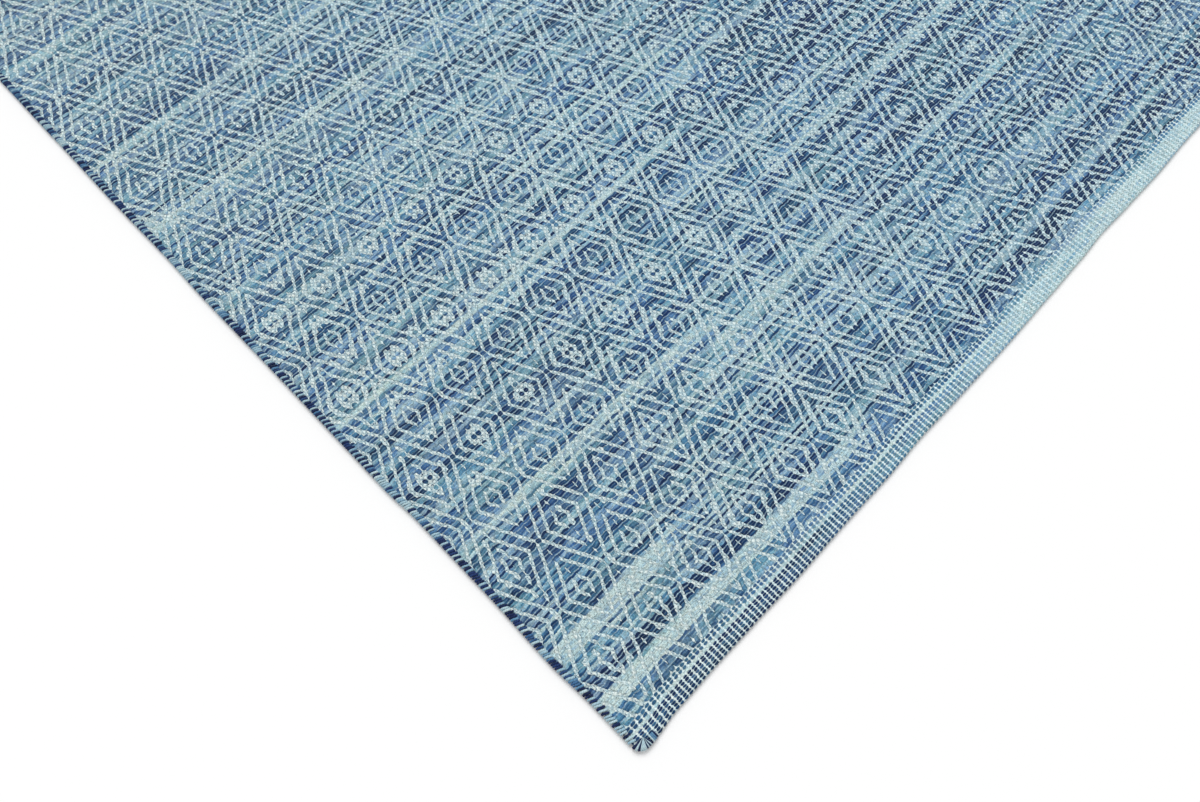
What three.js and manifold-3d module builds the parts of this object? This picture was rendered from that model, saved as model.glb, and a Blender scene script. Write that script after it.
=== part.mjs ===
// Flat-woven dhurrie rug, lying flat, in millimetres.
// Frame: origin at the middle of the underside, +X across the rug (along the weft),
// +Y along its length (along the warp), +Z up. The rug lies on z = 0.
//
// It is made of three pieces:
//   woven_cloth     one flat cloth, with its plain end bands
//   overcast_left   yarn whipped over the long edge at -X, round its two corners
//   overcast_right  yarn whipped over the long edge at +X, round its two corners
// Under the overcast yarn the cloth's selvedge is pressed thin, and the yarn grips it.

import * as THREE from "three";
import Module from "manifold-3d";
import { mergeVertices } from "three/addons/utils/BufferGeometryUtils.js";

// ---- driving dimensions ----------------------------------------------------
const WIDTH = 1600;            // across the weft, over the overcast edges
const LENGTH = 2300;           // along the warp, end to end
const CLOTH_THICK = 4.8;       // woven cloth as it lies
const CORNER_R = 12;           // rounded corners of the outline
const OVERCAST_WIDTH = 8.2;    // how far the yarn reaches in from the edge
const OVERCAST_HEIGHT = 5.4;   // over the yarn
const OVERCAST_END = 24;       // how far the yarn runs along each end past the corner
const YARN_OUT = 1.2;          // yarn outside the selvedge
const YARN_UNDER = 1.0;        // yarn below the selvedge
const CLEARANCE = 0.3;         // between the cloth and the yarn
const SELVEDGE_THICK = 2.6;    // cloth pressed thin inside the yarn
const SELVEDGE_LOW = YARN_UNDER + CLEARANCE;
const SELVEDGE_HIGH = SELVEDGE_LOW + SELVEDGE_THICK;
const EDGE_ROUND = 1.3;        // soft edge of the yarn
const END_ROUND = 1.1;         // soft woven edge at the ends
const STEP = 40;               // stations of the outline along the straight runs
const STEP_CORNER = 6;         // the same near the corners
const NEAR_CORNER = 60;        // how far that reaches from the corner
const ARC_STEPS = 6;           // outline points round a corner

// ---- unevenness of the outline ----------------------------------------------
// along: distance in millimetres from the corner at -X, -Y. out: how far the edge
// stands outside (+) or inside (-) the straight line between the corners.
const SIDE_UNEVEN = [
  { along: 0, out: 0.2 }, { along: 60, out: 0.0 }, { along: 110, out: 2.0 }, { along: 200, out: -0.2 },
  { along: 300, out: -0.6 }, { along: 350, out: 1.6 }, { along: 420, out: 1.2 }, { along: 530, out: 1.0 },
  { along: 660, out: 1.4 }, { along: 740, out: -0.2 }, { along: 820, out: 0.4 }, { along: 960, out: -0.8 },
  { along: 1080, out: -1.8 }, { along: 1230, out: -0.9 }, { along: 1370, out: 0.6 }, { along: 1500, out: 1.5 },
  { along: 1620, out: 0.3 }, { along: 1750, out: -0.9 }, { along: 1880, out: -0.2 }, { along: 2020, out: 1.1 },
  { along: 2150, out: 0.4 }, { along: 2300, out: 0.0 },
];
const END_UNEVEN = [
  { along: 0, out: 0.0 }, { along: 60, out: 0.0 }, { along: 110, out: -0.5 }, { along: 160, out: 0.0 },
  { along: 220, out: 1.4 }, { along: 290, out: 0.8 }, { along: 360, out: 1.4 }, { along: 420, out: -0.4 },
  { along: 480, out: 1.1 }, { along: 560, out: 1.8 }, { along: 650, out: 0.8 }, { along: 705, out: -0.2 },
  { along: 752, out: -2.3 }, { along: 800, out: -1.0 }, { along: 860, out: -0.3 }, { along: 930, out: -1.8 },
  { along: 1040, out: -0.6 }, { along: 1150, out: 0.9 }, { along: 1260, out: 0.2 }, { along: 1370, out: -1.0 },
  { along: 1480, out: 0.5 }, { along: 1600, out: 0.0 },
];
// The whipped corners stand a little beyond the woven end.
const CORNER_BULGE = 3.6;      // how far, at its most
const BULGE_FULL = 16;         // distance from the corner where it is full
const BULGE_GONE = 52;         // distance from the corner where it has gone

// ---- outline ----------------------------------------------------------------
const HX = WIDTH / 2, HY = LENGTH / 2;

function smooth(t) {
  const c = Math.min(1, Math.max(0, t));
  return c * c * (3 - 2 * c);
}

function uneven(table, along) {
  if (along <= table[0].along) return table[0].out;
  for (let i = 1; i < table.length; i++) {
    const a = table[i - 1], b = table[i];
    if (along <= b.along) return a.out + (b.out - a.out) * smooth((along - a.along) / (b.along - a.along));
  }
  return table[table.length - 1].out;
}

function bulge(x) {
  const d = HX - Math.abs(x);
  return CORNER_BULGE * (1 - smooth((d - BULGE_FULL) / (BULGE_GONE - BULGE_FULL)));
}

// Moves a point of the straight-edged plan to its place in the real, slightly uneven one.
// The two long sides and the two ends wander each in its own way.
function place(x, y) {
  const right = smooth((x + HX) / WIDTH), far = smooth((y + HY) / LENGTH);
  const left = -uneven(SIDE_UNEVEN, y + HY);
  const rightSide = uneven(SIDE_UNEVEN, HY - y) * 0.9;
  const near = -uneven(END_UNEVEN, x + HX) - bulge(x);
  const farEnd = uneven(END_UNEVEN, HX - x) * 0.9 + bulge(x);
  return new THREE.Vector2(
    x + left * (1 - right) + rightSide * right,
    y + near * (1 - far) + farEnd * far,
  );
}

// Stations of the outline along X or Y, for a rug of this half length: wide apart, and
// close together near the corners. All pieces share them, so that neighbours bend alike.
function stations(half) {
  const out = [];
  for (let s = half; s > half - NEAR_CORNER; s -= STEP_CORNER) out.push(s, -s);
  for (let k = 0; k * STEP < half - NEAR_CORNER; k++) out.push(k * STEP, -k * STEP);
  return out;
}

// A straight run along X or Y: its start, then every station inside it.
function between(a, b) {
  const axis = Math.abs(b[0] - a[0]) > Math.abs(b[1] - a[1]) ? 0 : 1;
  const sign = Math.sign(b[axis] - a[axis]);
  const inside = stations(axis === 0 ? HX : HY)
    .filter((s, i, all) => all.indexOf(s) === i && (s - a[axis]) * sign > 0.5 && (b[axis] - s) * sign > 0.5)
    .sort((s, t) => (s - t) * sign);
  return [[a[0], a[1]], ...inside.map((s) => (axis === 0 ? [s, a[1]] : [a[0], s]))];
}

function arc(cx, cy, r, from, to) {
  const out = [];
  for (let i = 0; i < ARC_STEPS; i++) {
    const t = (from + (to - from) * i / ARC_STEPS) * Math.PI / 180;
    out.push([cx + r * Math.cos(t), cy + r * Math.sin(t)]);
  }
  return out;
}

// A rounded rectangle, inset from the rug's plan by d, counter-clockwise.
function roundedPlan(d) {
  const cx = HX - CORNER_R, cy = HY - CORNER_R, r = CORNER_R - d;
  return [
    ...arc(-cx, -cy, r, 180, 270), ...between([-cx, -cy - r], [cx, -cy - r]),
    ...arc(cx, -cy, r, 270, 360), ...between([cx + r, -cy], [cx + r, cy]),
    ...arc(cx, cy, r, 0, 90), ...between([cx, cy + r], [-cx, cy + r]),
    ...arc(-cx, cy, r, 90, 180), ...between([-cx - r, cy], [-cx - r, -cy]),
  ];
}

// The strip along one long side (side is -1 or +1): from one end, round both corners
// and along the side, between insets dOut and dIn, reaching `run` along each end.
function stripPlan(side, dOut, dIn, run) {
  const cx = HX - CORNER_R, cy = HY - CORNER_R;
  const ro = CORNER_R - dOut, ri = CORNER_R - dIn, xe = HX - run;
  const outer = [
    ...between([xe, -cy - ro], [cx, -cy - ro]), ...arc(cx, -cy, ro, 270, 360),
    ...between([cx + ro, -cy], [cx + ro, cy]), ...arc(cx, cy, ro, 0, 90),
    ...between([cx, cy + ro], [xe, cy + ro]), [xe, cy + ro],
  ];
  const inner = [
    ...between([xe, cy + ri], [cx, cy + ri]), ...arc(cx, cy, ri, 90, 0),
    ...between([cx + ri, cy], [cx + ri, -cy]), ...arc(cx, -cy, ri, 0, -90),
    ...between([cx, -cy - ri], [xe, -cy - ri]), [xe, -cy - ri],
  ];
  const all = [...outer, ...inner];
  return side > 0 ? all : all.map(([x, y]) => [-x, y]).reverse();
}

// An upright solid on a plan, from z = low to z = high, with its edges rounded by `round`.
function slab(plan, low, high, round) {
  const shape = new THREE.Shape(plan.map(([x, y]) => place(x, y)));
  const geometry = new THREE.ExtrudeGeometry(shape, {
    depth: high - low - 2 * round,
    bevelEnabled: round > 0,
    bevelThickness: round,
    bevelSize: round,
    bevelOffset: -round,
    bevelSegments: 2,
    curveSegments: 1,
    steps: 1,
  });
  geometry.translate(0, 0, low + round);
  return geometry;
}

// ---- solids -------------------------------------------------------------------
const wasm = await Module();
wasm.setup();

function solid(geometry) {
  const bare = geometry.clone();
  bare.deleteAttribute("normal");
  bare.deleteAttribute("uv");
  const merged = mergeVertices(bare, 1e-4);
  return new wasm.Manifold(new wasm.Mesh({
    numProp: 3,
    vertProperties: new Float32Array(merged.attributes.position.array),
    triVerts: new Uint32Array(merged.index.array),
  }));
}

function geometryOf(manifold) {
  const mesh = manifold.getMesh();
  const geometry = new THREE.BufferGeometry();
  geometry.setAttribute("position", new THREE.BufferAttribute(new Float32Array(mesh.vertProperties), 3));
  geometry.setIndex(new THREE.BufferAttribute(new Uint32Array(mesh.triVerts), 1));
  geometry.computeVertexNormals();
  return geometry;
}

// The cloth: the full plan, less the room that the yarn takes at each side, with the
// pressed selvedge left standing inside that room.
function cloth() {
  let body = solid(slab(roundedPlan(0.2), 0, CLOTH_THICK, END_ROUND));
  for (const side of [-1, 1]) {
    body = body.subtract(solid(slab(
      stripPlan(side, -9, OVERCAST_WIDTH + CLEARANCE, OVERCAST_END + CLEARANCE), -2, CLOTH_THICK + 4, 0)));
  }
  for (const side of [-1, 1]) {
    body = body.add(solid(slab(
      stripPlan(side, YARN_OUT + CLEARANCE, CORNER_R - 0.4, OVERCAST_END + 6), SELVEDGE_LOW, SELVEDGE_HIGH, 0)));
  }
  return body;
}

// The overcast yarn along one side: a soft-edged strip with the selvedge's room taken out.
function overcast(side) {
  const whole = solid(slab(stripPlan(side, 0, OVERCAST_WIDTH, OVERCAST_END), 0, OVERCAST_HEIGHT, EDGE_ROUND));
  const room = solid(slab(
    stripPlan(side, YARN_OUT, CORNER_R - 0.1, OVERCAST_END + 9),
    SELVEDGE_LOW - CLEARANCE, SELVEDGE_HIGH + CLEARANCE, 0));
  return whole.subtract(room);
}

// ---- materials ------------------------------------------------------------------
const clothBlue = new THREE.MeshStandardMaterial({ color: 0x6f9fb8, roughness: 0.92, metalness: 0 });
const yarnNavy = new THREE.MeshStandardMaterial({ color: 0x5a7596, roughness: 0.88, metalness: 0 });

const rug = new THREE.Group();

function piece(name, manifold, material) {
  const mesh = new THREE.Mesh(geometryOf(manifold), material);
  mesh.name = name;
  rug.add(mesh);
}

piece("woven_cloth", cloth(), clothBlue);
piece("overcast_left", overcast(-1), yarnNavy);
piece("overcast_right", overcast(1), yarnNavy);

export default rug;
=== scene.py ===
import math

import bpy
import numpy as np
from mathutils import Matrix


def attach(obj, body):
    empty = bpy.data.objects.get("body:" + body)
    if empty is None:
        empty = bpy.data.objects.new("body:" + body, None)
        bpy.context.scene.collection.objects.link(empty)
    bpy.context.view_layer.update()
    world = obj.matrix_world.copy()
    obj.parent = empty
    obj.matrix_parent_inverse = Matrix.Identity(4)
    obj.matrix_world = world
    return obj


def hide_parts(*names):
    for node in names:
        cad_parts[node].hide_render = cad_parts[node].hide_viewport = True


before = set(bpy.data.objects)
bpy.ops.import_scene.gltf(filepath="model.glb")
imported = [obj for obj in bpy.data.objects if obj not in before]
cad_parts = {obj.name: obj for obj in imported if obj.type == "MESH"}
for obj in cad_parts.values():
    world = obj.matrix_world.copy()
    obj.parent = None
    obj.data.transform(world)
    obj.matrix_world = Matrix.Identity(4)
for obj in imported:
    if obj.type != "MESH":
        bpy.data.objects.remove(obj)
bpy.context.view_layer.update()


RNG = np.random.RandomState(20)

# ---- named sizes, in millimetres ---------------------------------------------------
MM = 0.001
WIDTH, LENGTH = 1600.0, 2300.0
HX, HY = WIDTH / 2, LENGTH / 2
REPEAT = 66.1                       # one repeat of the twill across, 22 ends
END_PITCH = REPEAT / 22
PICK_PITCH = 6.2184                 # one pick of two strands; 20 to a repeat along
CENTRE_X = -HX + 0.572 * REPEAT     # a diamond's middle: end 0
CENTRE_Y = -HY + 0.632 * 20 * PICK_PITCH  # and pick 0
FIRST_PICK = -8.5                   # the pattern's first pick starts here, next to the end band
PICKS = 362                         # picks in the patterned field
CLOTH_TOP = 4.35                    # base of the woven relief
CLOTH_LOW = 0.12
CORNER_R = 12.0
YARN_REACH = 8.2                    # how far the overcast stitches reach in
YARN_END = 24.0                     # how far they run along each end
SEL_X = HX - 2.4                    # the cloth's own edge, inside the stitches
STITCH_PITCH = 2.9
HUB_IN = (14.0, 10.3)               # the middle of the fan of stitches, in from the side and the end
ROW = 2.7                           # pitch of the dashed rows of the end band
BAND_ROWS = [ROW] * 6 + [3.3] + [3.12] * 2  # from the end edge inwards
PANELS_X, PANELS_Y = 3, 4

# Unevenness of the outline: distance from the corner at -X, -Y, and how far the edge stands out.
SIDE_UNEVEN = [
    {"along": 0, "out": 0.2}, {"along": 60, "out": 0.0}, {"along": 110, "out": 2.0}, {"along": 200, "out": -0.2},
    {"along": 300, "out": -0.6}, {"along": 350, "out": 1.6}, {"along": 420, "out": 1.2}, {"along": 530, "out": 1.0},
    {"along": 660, "out": 1.4}, {"along": 740, "out": -0.2}, {"along": 820, "out": 0.4}, {"along": 960, "out": -0.8},
    {"along": 1080, "out": -1.8}, {"along": 1230, "out": -0.9}, {"along": 1370, "out": 0.6}, {"along": 1500, "out": 1.5},
    {"along": 1620, "out": 0.3}, {"along": 1750, "out": -0.9}, {"along": 1880, "out": -0.2}, {"along": 2020, "out": 1.1},
    {"along": 2150, "out": 0.4}, {"along": 2300, "out": 0.0},
]
END_UNEVEN = [
    {"along": 0, "out": 0.0}, {"along": 60, "out": 0.0}, {"along": 110, "out": -0.5}, {"along": 160, "out": 0.0},
    {"along": 220, "out": 1.4}, {"along": 290, "out": 0.8}, {"along": 360, "out": 1.4}, {"along": 420, "out": -0.4},
    {"along": 480, "out": 1.1}, {"along": 560, "out": 1.8}, {"along": 650, "out": 0.8}, {"along": 705, "out": -0.2},
    {"along": 752, "out": -2.3}, {"along": 800, "out": -1.0}, {"along": 860, "out": -0.3}, {"along": 930, "out": -1.8},
    {"along": 1040, "out": -0.6}, {"along": 1150, "out": 0.9}, {"along": 1260, "out": 0.2}, {"along": 1370, "out": -1.0},
    {"along": 1480, "out": 0.5}, {"along": 1600, "out": 0.0},
]
CORNER_BULGE, BULGE_FULL, BULGE_GONE = 3.6, 16.0, 52.0

# How far the ends and picks lie from their straight places: along counts from the near end,
# the columns of each row stand at DRIFT_AT from the left side.
DRIFT_AT = (50, 230, 350, 470, 570, 690, 790, 900, 1000)
DRIFT = [
    {"along": 0, "dx": (5.0, 4.4, 4.0, 4.0, 1.8, 0.3, 2.2, 1.2, -1.5), "dy": (0.0,) * 9},
    {"along": 30, "dx": (4.8, 4.0, 3.6, 3.7, 1.5, 0.0, 1.9, 1.0, -2.0), "dy": (0.0,) * 9},
    {"along": 60, "dx": (4.4, 3.6, 3.1, 3.2, 1.0, -0.5, 1.5, 0.8, -2.5), "dy": (1.2, 0.0, 0.0, -0.6, -1.0, -2.5, -3.9, -2.5, -2.0)},
    {"along": 95, "dx": (4.0, 3.6, 3.0, 3.0, 0.8, -0.7, 1.0, 0.5, -3.2), "dy": (0.3, -0.4, -0.5, -1.6, -2.6, -3.6, -4.6, -4.8, -3.0)},
    {"along": 120, "dx": (3.2, 2.7, 2.8, 2.8, 0.7, -1.2, 1.3, 0.5, -2.5), "dy": (-0.1, -0.9, -1.1, -1.8, -2.9, -4.4, -5.4, -5.0, -3.1)},
    {"along": 150, "dx": (1.8, 1.4, 1.3, 1.4, -0.3, -2.2, 0.9, 0.9, -2.0), "dy": (-0.7, -0.5, 0.6, -0.3, -1.0, -2.7, -4.2, -3.0, -3.0)},
    {"along": 175, "dx": (0.3, 0.5, 0.4, 0.2, -1.0, -2.1, 0.3, 0.6, -1.5), "dy": (-1.0, -0.5, 0.6, -0.2, -1.2, -3.0, -4.0, -3.1, -3.0)},
    {"along": 225, "dx": (-0.6, -0.7, -0.8, -0.6, -1.6, -2.0, 0.2, 0.5, -1.0), "dy": (-0.5, -0.6, -1.0, -1.6, -2.0, -4.0, -5.2, -4.5, -4.0)},
    {"along": 280, "dx": (-1.9, -1.4, -1.2, -0.7, -1.5, -1.5, 0.5, 0.5, -0.5), "dy": (0.5, 0.8, 0.5, 0.0, 0.1, -1.4, -3.0, -3.0, -3.0)},
    {"along": 335, "dx": (-0.7, -0.6, -0.6, 0.3, -0.1, -0.7, 1.0, 0.5, 0.0), "dy": (-0.7, -1.7, -1.8, -2.5, -2.9, -3.7, -3.2, -3.0, -3.0)},
    {"along": 390, "dx": (0.0, 0.0, 0.3, 0.8, 0.1, -0.8, 0.5, 0.3, 0.0), "dy": (0.3, -0.8, -1.0, -1.2, -2.1, -2.1, -2.0, -2.0, -2.0)},
    {"along": 445, "dx": (-0.7, -0.5, 0.0, 0.4, -0.4, -1.0, 0.0, 0.0, 0.0), "dy": (3.0, 1.2, 0.6, 0.9, 0.2, 0.0, 0.0, 0.0, 0.0)},
    {"along": 500, "dx": (-1.5, -1.0, -0.5, 0.6, 0.0, 0.0, 0.0, 0.0, 0.0), "dy": (3.5, 2.5, 2.0, 1.9, 2.4, 2.4, 2.0, 1.5, 1.0)},
    {"along": 555, "dx": (-2.0, -1.1, 0.0, 0.8, 0.5, 0.0, 0.0, 0.0, 0.0), "dy": (4.4, 3.8, 4.4, 4.6, 4.7, 4.0, 3.0, 2.0, 1.0)},
    {"along": 610, "dx": (-1.6, -0.9, 0.3, 0.7, 0.4, 0.0, 0.0, 0.0, 0.0), "dy": (1.9, 1.0, 0.6, 1.6, 1.6, 1.2, 1.0, 0.5, 0.0)},
    {"along": 665, "dx": (-1.0, -0.5, 0.4, 0.3, 0.0, 0.0, 0.0, 0.0, 0.0), "dy": (2.9, 2.2, 2.4, 1.7, 1.5, 1.0, 1.0, 0.5, 0.0)},
    {"along": 720, "dx": (-0.7, -0.6, 0.0, 0.0, 0.0, 0.0, 0.0, 0.0, 0.0), "dy": (3.1, 2.5, 2.1, 1.5, 1.0, 1.0, 0.5, 0.0, 0.0)},
    {"along": 775, "dx": (0.3, 0.5, 0.5, 0.3, 0.0, 0.0, 0.0, 0.0, 0.0), "dy": (3.3, 2.7, 2.5, 1.5, 1.0, 0.5, 0.0, 0.0, 0.0)},
    {"along": 830, "dx": (1.8, 1.0, 0.8, 0.5, 0.0, 0.0, 0.0, 0.0, 0.0), "dy": (-0.5, -0.1, -0.5, -0.5, 0.0, 0.0, 0.0, 0.0, 0.0)},
    {"along": 885, "dx": (1.3, 1.0, 0.6, 0.3, 0.0, 0.0, 0.0, 0.0, 0.0), "dy": (-3.5, -1.8, -1.5, -1.0, 0.0, 0.0, 0.0, 0.0, 0.0)},
    {"along": 940, "dx": (2.1, 1.0, 0.5, 0.0, 0.0, 0.0, 0.0, 0.0, 0.0), "dy": (-2.1, -1.6, -1.0, 0.0, 0.0, 0.0, 0.0, 0.0, 0.0)},
    {"along": 1000, "dx": (2.2, 1.0, 0.3, 0.0, 0.0, 0.0, 0.0, 0.0, 0.0), "dy": (-2.1, -1.2, -0.5, 0.0, 0.0, 0.0, 0.0, 0.0, 0.0)},
    {"along": 1250, "dx": (0.0,) * 9, "dy": (0.0,) * 9},
    {"along": 2300, "dx": (0.0,) * 9, "dy": (0.0,) * 9},
]

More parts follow.
